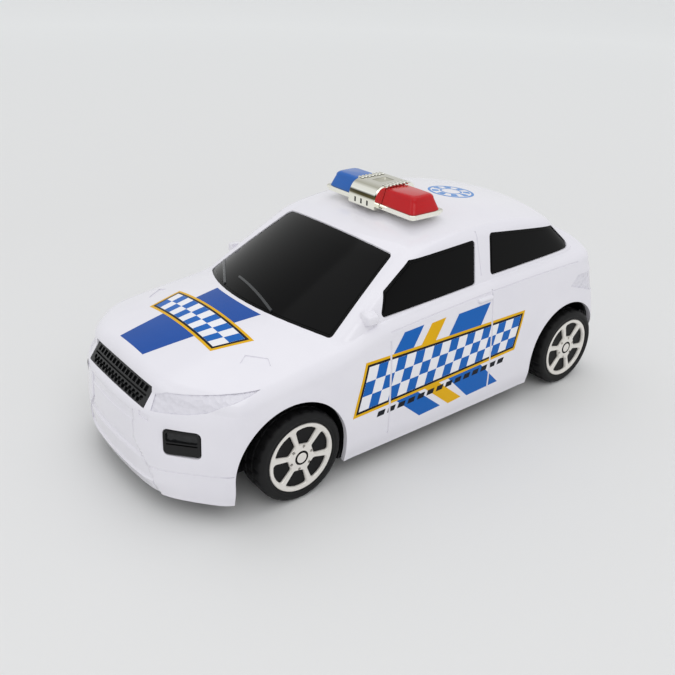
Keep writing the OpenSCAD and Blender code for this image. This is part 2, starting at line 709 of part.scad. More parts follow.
// Places of the chassis screws, at the top of the plate
module chassis_screws_at() {
    both_sides() for (x = [boss_front_x, -boss_rear_x]) translate([x, boss_y, plate_top]) children();
}

module chassis_screws() {
    color("silver") chassis_screws_at() translate([0, 0, -plate_t]) rotate([180, 0, 0])
        screw(screw_d, chassis_screw_l);
}

// Wheels: a place with its axis pointing out of the car, measured from the middle line
module at_wheel(x, side) {
    translate([x, 0, axle_z]) rotate([-90 * side, 0, 0]) children();
}

tyre_in_r = disc_d / 2 + 0.15;
hub_back = disc_y - tyre_w + 1;
disc_back = disc_y - disc_t;

module tyre(x, side) {
    r = tyre_d / 2;
    back = disc_y - tyre_w;
    front = disc_y + 0.2;
    color("#1c1c1c") at_wheel(x, side) rotate_extrude($fn = 96) difference() {
        polygon([[tyre_in_r, back], [r - 1.4, back], [r, back + 1.6], [r, front - 1.6],
            [r - 1.2, front - 0.3], [r - 2.2, front], [tyre_in_r + 0.4, front], [tyre_in_r, front - 0.4]]);
        for (i = [1, 2]) translate([r - 0.5, back + i * tyre_w / 3 - 0.4]) square([1, 0.8]);
    }
}

module wheel_hub(x, side) {
    r = tyre_in_r - 0.05;
    web = disc_back - 0.05;
    color("#232325") at_wheel(x, side) difference() {
        union() {
            rotate_extrude($fn = 96) translate([r - 1.2, hub_back]) square([1.2, web - hub_back]);
            translate([0, 0, web - 1.6]) cylinder(r = r - 0.6, h = 1.6, $fn = 96);
            translate([0, 0, bearing_out + 0.5]) cylinder(r = 3.6, h = web - bearing_out - 1, $fn = 48);
        }
        cylinder(d = axle_d + 0.02, h = web - 0.55, $fn = 48);
    }
}

// Outline of a convex polygon, listed anticlockwise, moved out by r, with short steps round its corners
function stepped_round(points, r, steps = 4) = let (n = len(points)) [for (i = [0 : n - 1])
    let (t = points[i] - points[(i + n - 1) % n], u = points[(i + 1) % n] - points[i],
        from = atan2(-t.x, t.y), turn = (atan2(-u.x, u.y) - from + 360) % 360)
    for (k = [0 : steps]) points[i] + r * [cos(from + turn * k / steps), sin(from + turn * k / steps)]];

// Silver disc with its windows, small holes and centre ring
module wheel_disc(x, side) {
    r = disc_d / 2;
    corners = [for (c = [[0.47, -1], [0.79, -1], [0.79, 1], [0.47, 1]]) let (a = c.y * (5 + 18 * c.x))
        r * c.x * [cos(a), sin(a)]];
    color("gainsboro") at_wheel(x, side) translate([0, 0, disc_back]) difference() {
        cylinder(r = r, h = disc_t, $fn = 96);
        for (i = [0 : disc_windows - 1]) rotate([0, 0, i * 360 / disc_windows - disc_turn * side]) {
            translate([0, 0, -1]) linear_extrude(disc_t + 2) polygon(stepped_round(corners, 0.9));
            translate([r * 0.33, 0, -1]) cylinder(r = 0.55, h = disc_t + 2, $fn = 16);
        }
        translate([0, 0, disc_t - 0.4]) difference() {
            cylinder(r = r * 0.2, h = 1, $fn = 48);
            translate([0, 0, -1]) cylinder(r = r * 0.155, h = 3, $fn = 48);
        }
    }
}

module tyre_front_left() { tyre(front_axle_x, 1); }
module tyre_front_right() { tyre(front_axle_x, -1); }
module tyre_rear_left() { tyre(rear_axle_x, 1); }
module tyre_rear_right() { tyre(rear_axle_x, -1); }
module hub_front_left() { wheel_hub(front_axle_x, 1); }
module hub_front_right() { wheel_hub(front_axle_x, -1); }
module hub_rear_left() { wheel_hub(rear_axle_x, 1); }
module hub_rear_right() { wheel_hub(rear_axle_x, -1); }
module disc_front_left() { wheel_disc(front_axle_x, 1); }
module disc_front_right() { wheel_disc(front_axle_x, -1); }
module disc_rear_left() { wheel_disc(rear_axle_x, 1); }
module disc_rear_right() { wheel_disc(rear_axle_x, -1); }

module axle(x) {
    color("silver") translate([x, 0, axle_z]) across(axle_d / 2, 0.8 - disc_back, disc_back - 0.8);
}

module front_axle() { axle(front_axle_x); }
module rear_axle() { axle(rear_axle_x); }

// Friction drive: the axle gear turns the idler, whose wheel turns the flywheel's pinion
pressure = 25;
mesh_play = 0.1;
function pitch_r(teeth) = gear_module * teeth / 2;
function tip_r(teeth) = pitch_r(teeth) + 0.8 * gear_module;
function involute(a) = tan(a) * 180 / PI - a;

// Half angle of a tooth at radius r, with a thinner tooth for free running
function tooth_half(teeth, r) = let (base = pitch_r(teeth) * cos(pressure), at = max(r, base))
    (PI * gear_module / 2 - tooth_lash) / (2 * pitch_r(teeth)) * 180 / PI + involute(pressure)
    - involute(acos(base / at));

module gear(teeth, width, turn) {
    root = pitch_r(teeth) - 1.15 * gear_module;
    flank = [for (i = [0 : 4]) root + (tip_r(teeth) - root) * i / 4];
    function at(r, a) = r * [cos(a), sin(a)];
    rotate([0, 0, turn]) linear_extrude(width) polygon([for (i = [0 : teeth - 1])
        let (a = i * 360 / teeth) each concat([for (r = flank) at(r, a - tooth_half(teeth, r))],
        [for (k = [4 : -1 : 0]) at(flank[k], a + tooth_half(teeth, flank[k]))])]);
}

// Side-view places of the shafts, and each gear's turn that puts its teeth in mesh
axis_1 = [rear_axle_x, axle_z];
stage_1 = pitch_r(axle_teeth) + pitch_r(pinion_teeth) + mesh_play;
stage_2 = pitch_r(idler_teeth) + pitch_r(pinion_teeth) + mesh_play;
stage_angle = [26, 20];
axis_2 = axis_1 + stage_1 * [cos(stage_angle[0]), sin(stage_angle[0])];
axis_3 = axis_2 + stage_2 * [cos(stage_angle[1]), sin(stage_angle[1])];
turn_1 = stage_angle[0];
turn_2 = stage_angle[0] + 180 + 180 / pinion_teeth;
turn_2w = stage_angle[1];
turn_3 = stage_angle[1] + 180 + 180 / pinion_teeth;

// Places along the car's width inside the gearbox; the gears share what the gaps and the flywheel leave
box_in = gearbox_w / 2 - gearbox_wall;
shaft_gaps = [2, 1.2, 1.6, 2.4];
gear_room = 2 * box_in - flywheel_t - total(shaft_gaps);
axle_gear_y = -box_in + shaft_gaps[0];
axle_gear_t = gear_room * 5 / 9;
idler_wheel_y = axle_gear_y + axle_gear_t + shaft_gaps[1];
idler_wheel_t = gear_room - axle_gear_t;
flywheel_y = idler_wheel_y + idler_wheel_t + shaft_gaps[2];
end_play = 0.3;

// Frame at a shaft whose axis runs along the car's width, so that side-view angles hold
module at_shaft(axis, y) {
    translate([axis.x, y, axis.y]) rotate([90, 0, 0]) mirror([0, 0, 1]) children();
}

// Round bar along a shaft's frame from y0 to y1
module bar(d, y0, y1) {
    translate([0, 0, y0]) cylinder(d = d, h = y1 - y0, $fn = 48);
}

module axle_gear() {
    color("ivory") at_shaft(axis_1, 0) difference() {
        union() {
            translate([0, 0, axle_gear_y]) gear(axle_teeth, axle_gear_t, turn_1);
            bar(axle_d + 1.6, -box_in + end_play, box_in - end_play);
        }
        bar(axle_d + 0.02, -box_in, box_in);
    }
}

module idler_gear() {
    color("ivory") at_shaft(axis_2, 0) difference() {
        union() {
            translate([0, 0, axle_gear_y - 0.5])
                gear(pinion_teeth, idler_wheel_y - axle_gear_y + 0.6, turn_2);
            translate([0, 0, idler_wheel_y]) gear(idler_teeth, idler_wheel_t, turn_2w);
            bar(pin_d + 1.6, -box_in + end_play, box_in - end_play);
        }
        bar(pin_d + 2 * run_play, -box_in, box_in);
    }
}

module flywheel_pinion() {
    color("goldenrod") at_shaft(axis_3, 0) difference() {
        union() {
            translate([0, 0, idler_wheel_y - 0.6]) gear(pinion_teeth, idler_wheel_t + 1.4, turn_3);
            bar(pin_d + 1.6, -box_in + end_play, idler_wheel_y);
        }
        bar(pin_d + 0.02, -box_in, box_in);
    }
}

module flywheel() {
    color("silver") at_shaft(axis_3, 0) difference() {
        union() {
            translate([0, 0, flywheel_y]) cylinder(d = flywheel_d, h = flywheel_t, $fn = 96);
            bar(flywheel_boss_d, flywheel_y, box_in - end_play);
        }
        bar(pin_d + 0.02, -box_in, box_in);
    }
}

module idler_pin() {
    color("silver") at_shaft(axis_2, 0) bar(pin_d, 0.1 - gearbox_w / 2, gearbox_w / 2 - 0.1);
}

module flywheel_shaft() {
    color("silver") at_shaft(axis_3, 0) bar(pin_d, 0.1 - gearbox_w / 2, gearbox_w / 2 - 0.1);
}

// Gearbox: a case that is open on the left, and its cover
box_x0 = axis_1.x - tip_r(axle_teeth) - 0.8 - gearbox_wall;
box_x1 = axis_3.x + flywheel_d / 2 + 1 + gearbox_wall;
box_z0 = axis_1.y - tip_r(axle_teeth) - 0.6 - gearbox_wall;
box_z1 = axis_3.y + flywheel_d / 2 + 1 + gearbox_wall;
tab_z = plate_top + 4;
tab_t = 2;
tab_r = 3.4;
box_split = box_in - 0.05;
cover_posts = [[box_x0 + 2.6, box_z1 - 2.6], [box_x1 - 2.6, box_z1 - 2.6], [box_x1 - 2.6, box_z0 + 2.6]];
tab_xs = [box_x0 + 3.5, box_x1 - 7];
tab_y = gearbox_w / 2 + 5;
tab_root = tab_y - gearbox_w / 2 + 0.4;
post_d = 4.8;

// Side-view outline of the gearbox, shrunk by inset
module box_outline(inset) {
    r = 2.5 - inset / 2;
    translate([(box_x0 + box_x1) / 2, (box_z0 + box_z1) / 2])
        rounded(box_corners(box_x1 - box_x0 - 2 * inset, box_z1 - box_z0 - 2 * inset, r), r);
}

module shaft_bores() {
    at_shaft(axis_1, 0) bar(axle_d + 2 * run_play, -gearbox_w, gearbox_w);
    at_shaft(axis_2, 0) bar(pin_d + 0.02, -gearbox_w, gearbox_w);
    at_shaft(axis_3, 0) bar(pin_d + 2 * run_play, -gearbox_w, gearbox_w);
}

// Places of the gearbox's four fixing tabs, from the ground up
module gearbox_tabs_at() {
    both_sides() for (x = tab_xs) translate([x, tab_y, 0]) children();
}

module fixing_tab(x) {
    difference() {
        union() {
            translate([x, tab_y, tab_z]) cylinder(r = tab_r, h = tab_t, $fn = 32);
            translate([x - tab_r, tab_y - tab_root, tab_z]) cube([2 * tab_r, tab_root, tab_t]);
        }
        translate([x, tab_y, tab_z - 1]) cylinder(d = screw_d + 0.4, h = tab_t + 2, $fn = 24);
    }
}

module gearbox_case() {
    color("#e9e6da") difference() {
        union() {
            difference() {
                upright(-gearbox_w / 2, box_split) box_outline(0);
                upright(-box_in, box_split + 1) box_outline(gearbox_wall);
            }
            for (p = cover_posts) at_shaft(p, 0) bar(post_d, -box_in - 0.4, box_split);
            mirror([0, 1, 0]) for (x = tab_xs) fixing_tab(x);
        }
        shaft_bores();
        for (p = cover_posts) at_shaft(p, 0) bar(screw_d - 0.3, 0, gearbox_w);
    }
}

module gearbox_cover() {
    color("#e9e6da") difference() {
        union() {
            upright(box_in, gearbox_w / 2) box_outline(0);
            for (x = tab_xs) fixing_tab(x);
        }
        shaft_bores();
        for (p = cover_posts) at_shaft(p, 0) bar(screw_d, 0, gearbox_w);
    }
}

module gearbox_screws() {
    color("silver") gearbox_tabs_at() translate([0, 0, tab_z + tab_t + head_h]) screw(screw_d, tab_screw_l);
}

module cover_screws() {
    color("silver") for (p = cover_posts) translate([p.x, gearbox_w / 2 + head_h, p.y]) rotate([-90, 0, 0])
        screw(screw_d - 0.4, cover_screw_l);
}

// Light bar: a plated tray with two pegs, a plated bridge over its middle, and a lens on each side
bar_seat = roof_z + 0.15;
tray_top = bar_seat + tray_t;
lens_h = bar_h - tray_t - 1.4;
lip = 1.2;
bar_x = cowl_x - bar_back;
peg_low = roof_top(bar_x, peg_y) - wall - 0.6;

// Layer of the tray, shrunk by inset
module tray_layer(z, inset) {
    r = 2 - inset / 2;
    translate([0, 0, z]) linear_extrude(tray_t / 2)
        rounded(box_corners(bar_d - 2 * inset, bar_l - 2 * inset, r), r);
}

module lightbar_base() {
    color("#d8d4c4") translate([bar_x, 0, 0]) difference() {
        union() {
            tray_layer(bar_seat, 0.6);
            tray_layer(bar_seat + tray_t / 2, 0);
            both_sides() translate([0, peg_y, peg_low])
                cylinder(d = peg_d, h = bar_seat + 0.5 - peg_low, $fn = 32);
        }
        both_sides() translate([0, peg_y, peg_low - 1])
            cylinder(d = screw_d - 0.5, h = bar_seat - peg_low + 1.5, $fn = 24);
    }
}

module lightbar_screws() {
    color("silver") both_sides() translate([bar_x, peg_y, peg_low - head_h]) rotate([180, 0, 0])
        screw(screw_d - 0.6, bar_screw_l);
}

// Loaf with sloping sides over the tray from y = start to the tray's left end, moved in by inset
module lens_loaf(inset, start) {
    half_d = bar_d / 2 - lip - inset;
    end = bar_l / 2 - lip - inset;
    r = 1.6;
    intersection() {
        hull() for (s = [-1, 1]) for (y = [0, 1]) {
            translate([s * (half_d - r), y * (end - r), tray_top]) cylinder(r = r, h = 0.6, $fn = 16);
            translate([s * (half_d - 2.2 - r), y * (end - 2.4 - r), tray_top + lens_h - inset - r])
                sphere(r = r, $fn = 16);
        }
        translate([-bar_d, start + inset, bar_seat]) cube([2 * bar_d, bar_l, bar_d]);
    }
}

module lens() {
    translate([bar_x, 0, 0]) difference() {
        lens_loaf(0, bridge_w / 2 + 0.15);
        translate([0, 0, -0.2]) lens_loaf(lens_wall, bridge_w / 2 + 0.15);
    }
}

module lens_red() { color("crimson") lens(); }
module lens_blue() { color("royalblue") mirror([0, 1, 0]) lens(); }

module lightbar_bridge() {
    wide = bar_d / 2 + 2.6;
    slot = bar_d / 2 + 0.15;
    crown = bar_h - 0.8;
    tooth_r = 0.65;
    half = [[slot, tray_t], [slot, 0], [wide, 0], [wide, crown * 0.48], [wide * 0.56, crown]];
    color("#d8d4c4") translate([bar_x, 0, bar_seat]) {
        difference() {
            upright(-bridge_w / 2, bridge_w / 2)
                polygon(concat(half, [for (i = [len(half) - 1 : -1 : 0]) [-half[i].x, half[i].y]]));
            translate([-3.5, -2.6, crown - 0.9]) cube([7, 5.2, 2]);
            for (y = [-3.6, 0, 3.6]) translate([wide - 0.5, y - 0.4, 1.2]) cube([1, 0.8, 2]);
        }
        both_sides() for (i = [0 : 5]) translate([(i - 2.5) * 1.9, 0, crown + 0.1])
            across(tooth_r, bridge_w / 2 - 1.4, bridge_w / 2 + 1);
    }
}

body_shell();
window_insert();
grille_insert();
fog_lamp_left();
fog_lamp_right();
chassis();
chassis_screws();
front_axle();
rear_axle();
tyre_front_left();
tyre_front_right();
tyre_rear_left();
tyre_rear_right();
hub_front_left();
hub_front_right();
hub_rear_left();
hub_rear_right();
disc_front_left();
disc_front_right();
disc_rear_left();
disc_rear_right();
gearbox_case();
gearbox_cover();
gearbox_screws();
cover_screws();
axle_gear();
idler_gear();
idler_pin();
flywheel();
flywheel_pinion();
flywheel_shaft();
lightbar_base();
lightbar_bridge();
lightbar_screws();
lens_red();
lens_blue();
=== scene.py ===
"""Looks of the toy police car: finer meshes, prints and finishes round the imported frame.

Lengths are in millimetres until new_object turns them into metres. X points to the front, Y to the left.
"""

import math

import bmesh
import bpy
import numpy as np
from mathutils import Matrix, Vector
from mathutils.bvhtree import BVHTree


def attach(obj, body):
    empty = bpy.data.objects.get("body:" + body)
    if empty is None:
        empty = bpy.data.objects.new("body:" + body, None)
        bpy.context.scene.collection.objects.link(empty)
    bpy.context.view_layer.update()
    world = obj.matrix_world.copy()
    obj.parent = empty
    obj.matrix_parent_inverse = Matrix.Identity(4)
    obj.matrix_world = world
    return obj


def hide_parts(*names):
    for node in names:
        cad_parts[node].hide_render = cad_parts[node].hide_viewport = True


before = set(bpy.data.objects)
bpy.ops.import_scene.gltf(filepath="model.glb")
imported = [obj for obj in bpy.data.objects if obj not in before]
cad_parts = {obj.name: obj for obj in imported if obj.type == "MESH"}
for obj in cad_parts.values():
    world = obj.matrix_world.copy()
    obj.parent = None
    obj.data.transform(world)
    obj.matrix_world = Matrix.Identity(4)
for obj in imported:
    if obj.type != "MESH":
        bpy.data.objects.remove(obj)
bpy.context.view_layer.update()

# Sizes that the frame shares
HALF_L, HALF_W = 109.44, 49.2
SILL_Z, BUMPER_Z = 8.0, 38.5
COWL_X, COWL_Z, ROOF_Z = 57.0, 57.5, 83.0
CABIN_X, CABIN_HALF, CABIN_TOP = -22.0, 44.8, 76.0
SCREEN_RAKE, SIDE_LEAN, HATCH_X, HATCH_RAKE = 2.1, 0.33, 100.0, 1.15
WALL, SHOULDER_R, RAIL_R, RAIL_DROP = 1.6, 4.5, 1.8, 0.4
AXLE_X, AXLE_Z, DISC_R = (62.4, -81.6), 17.2, 13.1
ARCH_R, ARCH_SHIFT, ARCH_IN = 22.4, 3.6, 31.1
BAR_X, BAR_Z, BAR_L, BAR_D, BAR_H = -11.2, 83.15, 53.2, 17.0, 9.6
TRAY_T, BRIDGE_HALF = 2.2, 7.8

# How far the lower body's sides draw in, listed as heights with distances
FRONT_LEAN = [(8, 1.6), (13, 0.2), (24, 0), (38.5, 1.2), (46, 6.725), (51, 9.7)]
CORNER_LEAN = [(8, 0.4), (13, 0), (24, 0.2), (38.5, 1.4), (51, 5.5)]
SIDE_TUCK = [(8, 1.5), (13, 0.2), (22, 0), (40, 0.4), (52, 1.4), (62, 3)]
REAR_LEAN = [(8, 2.4), (14, 0.4), (28, 0), (36, 1.2), (50, 4.5), (62, 9)]

# Directions square to the slanted corners in plan, and how far these lie inside the full corners
FRONT_CORNER, FRONT_CORNER_IN = (0.75, 0.66), 15.9
REAR_CORNER, REAR_CORNER_IN = (0.8, 0.6), 9.5

# Bows of the sides in plan, and how sharply the sides meet
FRONT_BOW, REAR_BOW, SIDE_BOW, LOWER_EDGE = 1 / 420, 1 / 500, 1 / 9000, 44
HATCH_BOW, CABIN_BOW, CABIN_EDGE = 1 / 160, 1 / 3600, 22
SCREEN_BOW, SCREEN_HALF, SCREEN_TOP_HALF = (1 / 79, 1 / 110), 39.6, 31.6
PILLAR_IN, PILLAR_TURN, HATCH_FOOT = 8, 0.15, 3

# Where the belt begins, how it rises, and the bends and crowns of bonnet, belt and roof
BELT_LEAD, BELT_RISE, BELT_SLOPE = 7, 0.9, 0.1
BONNET_BEND, BELT_BEND = 0.0008, 0.00044
BONNET_CROWN, BELT_CROWN, CROWN_RUN = 1 / 285, 1 / 600, 26
ROOF_PEAK_X, ROOF_FRONT_BEND, ROOF_REAR_BEND, ROOF_CROWN_R = -28, 0.0029, 0.0022, 400

# Steps of the lofts: along the front, one side and the rear, and across the top
LOWER_STEPS, LOWER_SPANS = (44, 130, 36), 44
CABIN_STEPS, CABIN_SPANS, CABIN_REACH = (44, 90, 36), 40, (80, -78)

# Meshes with fewer faces than this have their normals made to agree
SMALL_MESH = 9000


def at_height(z, table, soft):
    """Value of a height table at z, with its bends rounded over soft millimetres."""
    heights, values = zip(*table)
    return sum(np.interp(z + soft * k, heights, values) for k in (-1, -0.5, 0, 0.5, 1)) / 5


def bowed(along, across, bow, d):
    """Share of the way out to a bowed side at the distance d."""
    return (along + np.sqrt(along * along + 4 * bow * across * across * d)) / (2 * d)


def ease(t):
    """Smooth rise from 0 to 1."""
    c = np.clip(t, 0, 1)
    return c * c * (3 - 2 * c)


def lower_top(x, y):
    """Height of the bonnet, belt and deck."""
    back = COWL_X - BELT_LEAD - x
    bend = np.where(back < 0, BONNET_BEND, BELT_BEND)
    crown = BONNET_CROWN + (BELT_CROWN - BONNET_CROWN) * ease(back / CROWN_RUN)
    return COWL_Z + BELT_RISE + BELT_SLOPE * back - bend * back * back - crown * y * y


def roof_top(x, y):
    """Height of the roof."""
    back = ROOF_PEAK_X - x
    bend = np.where(back < 0, ROOF_FRONT_BEND, ROOF_REAR_BEND)
    return ROOF_Z - back * back * bend - y * y / ROOF_CROWN_R


def lower_point(d, z, inset):
    """Points of the lower body's outline at the heights z towards the box points d."""
    x, y = d[:, 0], d[:, 1]
    (fx, fy), (rx, ry) = FRONT_CORNER, REAR_CORNER
    front = HALF_L - at_height(z, FRONT_LEAN, 0.8) - inset
    rear = HALF_L - at_height(z, REAR_LEAN, 2) - inset
    side = HALF_W - at_height(z, SIDE_TUCK, 2) - inset
    cut = fx * HALF_L + fy * HALF_W - FRONT_CORNER_IN - at_height(z, CORNER_LEAN, 2) - inset
    tail = rx * HALF_L + ry * HALF_W - REAR_CORNER_IN - at_height(z, REAR_LEAN, 2) - inset
    gauges = [bowed(x, y, FRONT_BOW, front), bowed(-x, y, REAR_BOW, rear), bowed(y, x, SIDE_BOW, side),
              np.maximum(0, fx * x + fy * y) / cut, np.maximum(0, ry * y - rx * x) / tail]
    k = sum(g ** LOWER_EDGE for g in gauges) ** (-1 / LOWER_EDGE)
    return x * k, y * k


def cabin_point(d, z, inset):
    """Points of the cabin's outline at the heights z towards the box points d."""
    x, y = d[:, 0], d[:, 1]
    rise = z - COWL_Z
    front = COWL_X - rise * SCREEN_RAKE - CABIN_X - inset * math.hypot(1, SCREEN_RAKE)
    rear = HATCH_X - np.maximum(rise, HATCH_FOOT) * HATCH_RAKE + CABIN_X - inset * math.hypot(1, HATCH_RAKE)
    side = CABIN_HALF - rise * SIDE_LEAN - inset * math.hypot(1, SIDE_LEAN)
    bow = SCREEN_BOW[0] + (SCREEN_BOW[1] - SCREEN_BOW[0]) * (rise + 4) / 22
    edge = SCREEN_HALF - PILLAR_IN * (rise + 3.5) / 21.3
    pillar_far = front - bow * edge * edge + PILLAR_TURN * edge
    screen = np.minimum(bowed(x, y, bow, front), np.maximum(0, x + PILLAR_TURN * y) / pillar_far)
    gauges = [screen, bowed(-x, y, HATCH_BOW, rear), bowed(y, x, CABIN_BOW, side)]
    k = sum(g ** CABIN_EDGE for g in gauges) ** (-1 / CABIN_EDGE)
    return CABIN_X + x * k, y * k


def walk(front, rear, half, nf, ns, nr):
    """Points round a box from the middle of its front edge, over the left side, to the middle of its rear."""
    return np.array([(front, half * i / nf) for i in range(nf)]
                    + [(front + (rear - front) * i / ns, half) for i in range(ns)]
                    + [(rear, half * (1 - i / nr)) for i in range(nr + 1)])


def ring_solid(rings, top, spans):
    """Closed mesh from half rings on the left side, mirrored, and roofed at the height top(x, y)."""
    n = len(rings[0]) - 1
    loop, last = 2 * n, len(rings) - 1
    flip = np.array([1, -1, 1])
    verts = [np.concatenate([r, r[n - 1:0:-1] * flip]) for r in rings]
    for p in rings[last][1:n]:
        y = p[1] * (1 - 2 * np.arange(1, spans) / spans)
        x = np.full(spans - 1, p[0])
        verts.append(np.stack([x, y, top(x, y)], 1))

    def at(r, i):
        return r * loop + i % loop

    def row(i, j):
        if j == 0 or j == spans:
            return at(last, i if j == 0 else loop - i)
        return (last + 1) * loop + (i - 1) * (spans - 1) + j - 1

    faces = [(at(r, i), at(r, i + 1), at(r + 1, i + 1), at(r + 1, i))
             for r in range(last) for i in range(loop)]
    faces += [(row(i, j), row(i + 1, j), row(i + 1, j + 1), row(i, j + 1))
              for i in range(1, n - 1) for j in range(spans)]
    faces += [(at(last, 0), row(1, j), row(1, j + 1)) for j in range(spans)]
    faces += [(row(n - 1, j), at(last, n), row(n - 1, j + 1)) for j in range(spans)]
    faces.append(tuple(range(loop - 1, -1, -1)))
    return np.concatenate(verts), faces


def lower_loft(inset=0.0, low=SILL_Z, fine=1.0, relief=None):
    """Lower body, moved in by inset; relief(points) moves its wall points."""
    steps = walk(HALF_L, -HALF_L, HALF_W, *(round(n * fine) for n in LOWER_STEPS))
    wall = np.linspace(max(low, SILL_Z) + 1, BUMPER_Z, round(60 * fine))

    def ring(z, extra=0.0):
        z = np.broadcast_to(z, len(steps))
        x, y = lower_point(steps, z, inset + extra)
        return np.stack([x, y, z], 1)

    rings = [ring(z) for z in np.unique(np.concatenate([[low], wall]))]
    bx, by = lower_point(steps, np.full(len(steps), BUMPER_Z), inset)
    edge = lower_top(bx, by) - inset
    for share in np.linspace(0, 1, round(10 * fine) + 1)[1:]:
        rings.append(ring(BUMPER_Z + (edge - SHOULDER_R - BUMPER_Z) * share))
    for a in np.radians(np.linspace(0, 90, round(9 * fine) + 1)[1:]):
        r = ring(edge - SHOULDER_R, SHOULDER_R * (1 - math.cos(a)))
        r[:, 2] = edge - SHOULDER_R * (1 - math.sin(a)) + lower_top(r[:, 0], r[:, 1]) - inset - edge
        rings.append(r)
    if relief:
        rings = [relief(r) for r in rings]
    return ring_solid(rings, lambda x, y: lower_top(x, y) - inset, round(LOWER_SPANS * fine))


def cabin_loft(inset=0.0, low=COWL_Z - 9, fine=1.0):
    """Cabin from the height low up to the roof, moved in by inset."""
    steps = walk(*CABIN_REACH, CABIN_HALF, *(round(n * fine) for n in CABIN_STEPS))
    top = np.full(len(steps), CABIN_TOP - inset)
    top = np.minimum(top, roof_top(*cabin_point(steps, top, inset)) - inset - RAIL_R - RAIL_DROP)
    rings = []
    for share in np.linspace(0, 1, round(20 * fine)):
        z = low + (top - low) * share
        rings.append(np.stack([*cabin_point(steps, z, inset), z], 1))
    gap = roof_top(*cabin_point(steps, top + RAIL_R, inset + RAIL_R)) - inset - top - RAIL_R
    for a in np.radians(np.linspace(0, 90, round(8 * fine) + 1)[1:]):
        z = top + RAIL_R * math.sin(a)
        x, y = cabin_point(steps, z, inset + RAIL_R * (1 - math.cos(a)))
        rings.append(np.stack([x, y, z + gap * (1 - math.cos(a))], 1))
    return ring_solid(rings, lambda x, y: roof_top(x, y) - inset, round(CABIN_SPANS * fine))


def placed(name, data):
    """New object in the scene."""
    obj = bpy.data.objects.new(name, data)
    bpy.context.scene.collection.objects.link(obj)
    return obj


def new_object(name, shape, material):
    """Object from a pair of points in millimetres and faces."""
    verts, faces = shape
    mesh = bpy.data.meshes.new(name)
    mesh.from_pydata([tuple(v) for v in np.asarray(verts, float) / 1000], [], faces)
    mesh.validate()
    if len(faces) < SMALL_MESH:
        bm = bmesh.new()
        bm.from_mesh(mesh)
        bmesh.ops.recalc_face_normals(bm, faces=bm.faces)
        bm.to_mesh(mesh)
        bm.free()
    mesh.materials.append(material)
    return placed(name, mesh)


def discard(obj):
    """Removes an object with its mesh."""
    mesh = obj.data
    bpy.data.objects.remove(obj)
    bpy.data.meshes.remove(mesh)


def combine(obj, shape, how, material=None):
    """Cuts, adds or keeps what a closed shape covers; its faces bring their own material."""
    tool = shape
    if not isinstance(shape, bpy.types.Object):
        tool = new_object("tool", shape, material or obj.data.materials[0])
    step = obj.modifiers.new("step", "BOOLEAN")
    step.operation, step.solver, step.object, step.material_mode = how, "MANIFOLD", tool, "TRANSFER"
    made = bpy.data.meshes.new_from_object(obj.evaluated_get(bpy.context.evaluated_depsgraph_get()))
    obj.modifiers.clear()
    old, obj.data = obj.data, made
    bpy.data.meshes.remove(old)
    discard(tool)
    return obj


def polish(obj, angle=32):
    """Smooth shading, with edges kept where faces meet at more than the angle."""
    obj.data.shade_smooth()
    obj.data.set_sharp_from_angle(angle=math.radians(angle))
    return obj


def join(*shapes):
    """Several shapes as one."""
    verts, faces = [], []
    for v, f in shapes:
        faces += [tuple(i + len(verts) for i in face) for face in f]
        verts += [tuple(p) for p in v]
    return np.array(verts, float), faces


def mirrored(shape):
    """A shape's image on the other side of the car."""
    return np.asarray(shape[0], float) * (1, -1, 1), [tuple(reversed(f)) for f in shape[1]]


def both(shape):
    """A shape with its image on the other side of the car."""
    return join(shape, mirrored(shape))


def edge_normal(a, b):
    """Direction to the right of the way from a to b."""
    t = np.subtract(b, a) / np.linalg.norm(np.subtract(b, a))
    return np.array([t[1], -t[0]])


def offset(points, d):
    """Outline moved out by d, its corners kept."""
    made = []
    for i, p in enumerate(points):
        n1, n2 = edge_normal(points[i - 1], p), edge_normal(p, points[(i + 1) % len(points)])
        made.append(tuple(p + d * (n1 + n2) / (1 + n1 @ n2)))
    return made


def rounded(points, r, steps=6):
    """Anticlockwise outline moved out by r, with arcs round its outer corners."""
    made = []
    for i, p in enumerate(points):
        n1, n2 = edge_normal(points[i - 1], p), edge_normal(p, points[(i + 1) % len(points)])
        turn = math.atan2(n1[0] * n2[1] - n1[1] * n2[0], n1 @ n2)
        start = math.atan2(n1[1], n1[0])
        if turn < 0.1:
            made.append(tuple(p + r * (n1 + n2) / (1 + n1 @ n2)))
        else:
            angles = [start + turn * k / steps for k in range(steps + 1)]
            made += [tuple(p + r * np.array([math.cos(a), math.sin(a)])) for a in angles]
    return made


def box_outline(w, h, r, steps=6, x=0.0, y=0.0):
    """Rectangle of outer size w by h with round corners."""
    a, b = w / 2 - r, h / 2 - r
    return rounded([(x - a, y - b), (x + a, y - b), (x + a, y + b), (x - a, y + b)], r, steps)


def circle(r, n=64, x=0.0, y=0.0):
    """Points of a circle about x, y."""
    return [(x + r * math.cos(2 * math.pi * i / n), y + r * math.sin(2 * math.pi * i / n)) for i in range(n)]


def turns_left(points):
    """Whether an outline is listed anticlockwise."""
    return sum(a[0] * b[1] - b[0] * a[1] for a, b in zip(points, points[1:] + points[:1])) > 0


def turned_left(points):
    """The outline listed anticlockwise."""
    return points if turns_left(points) else points[::-1]


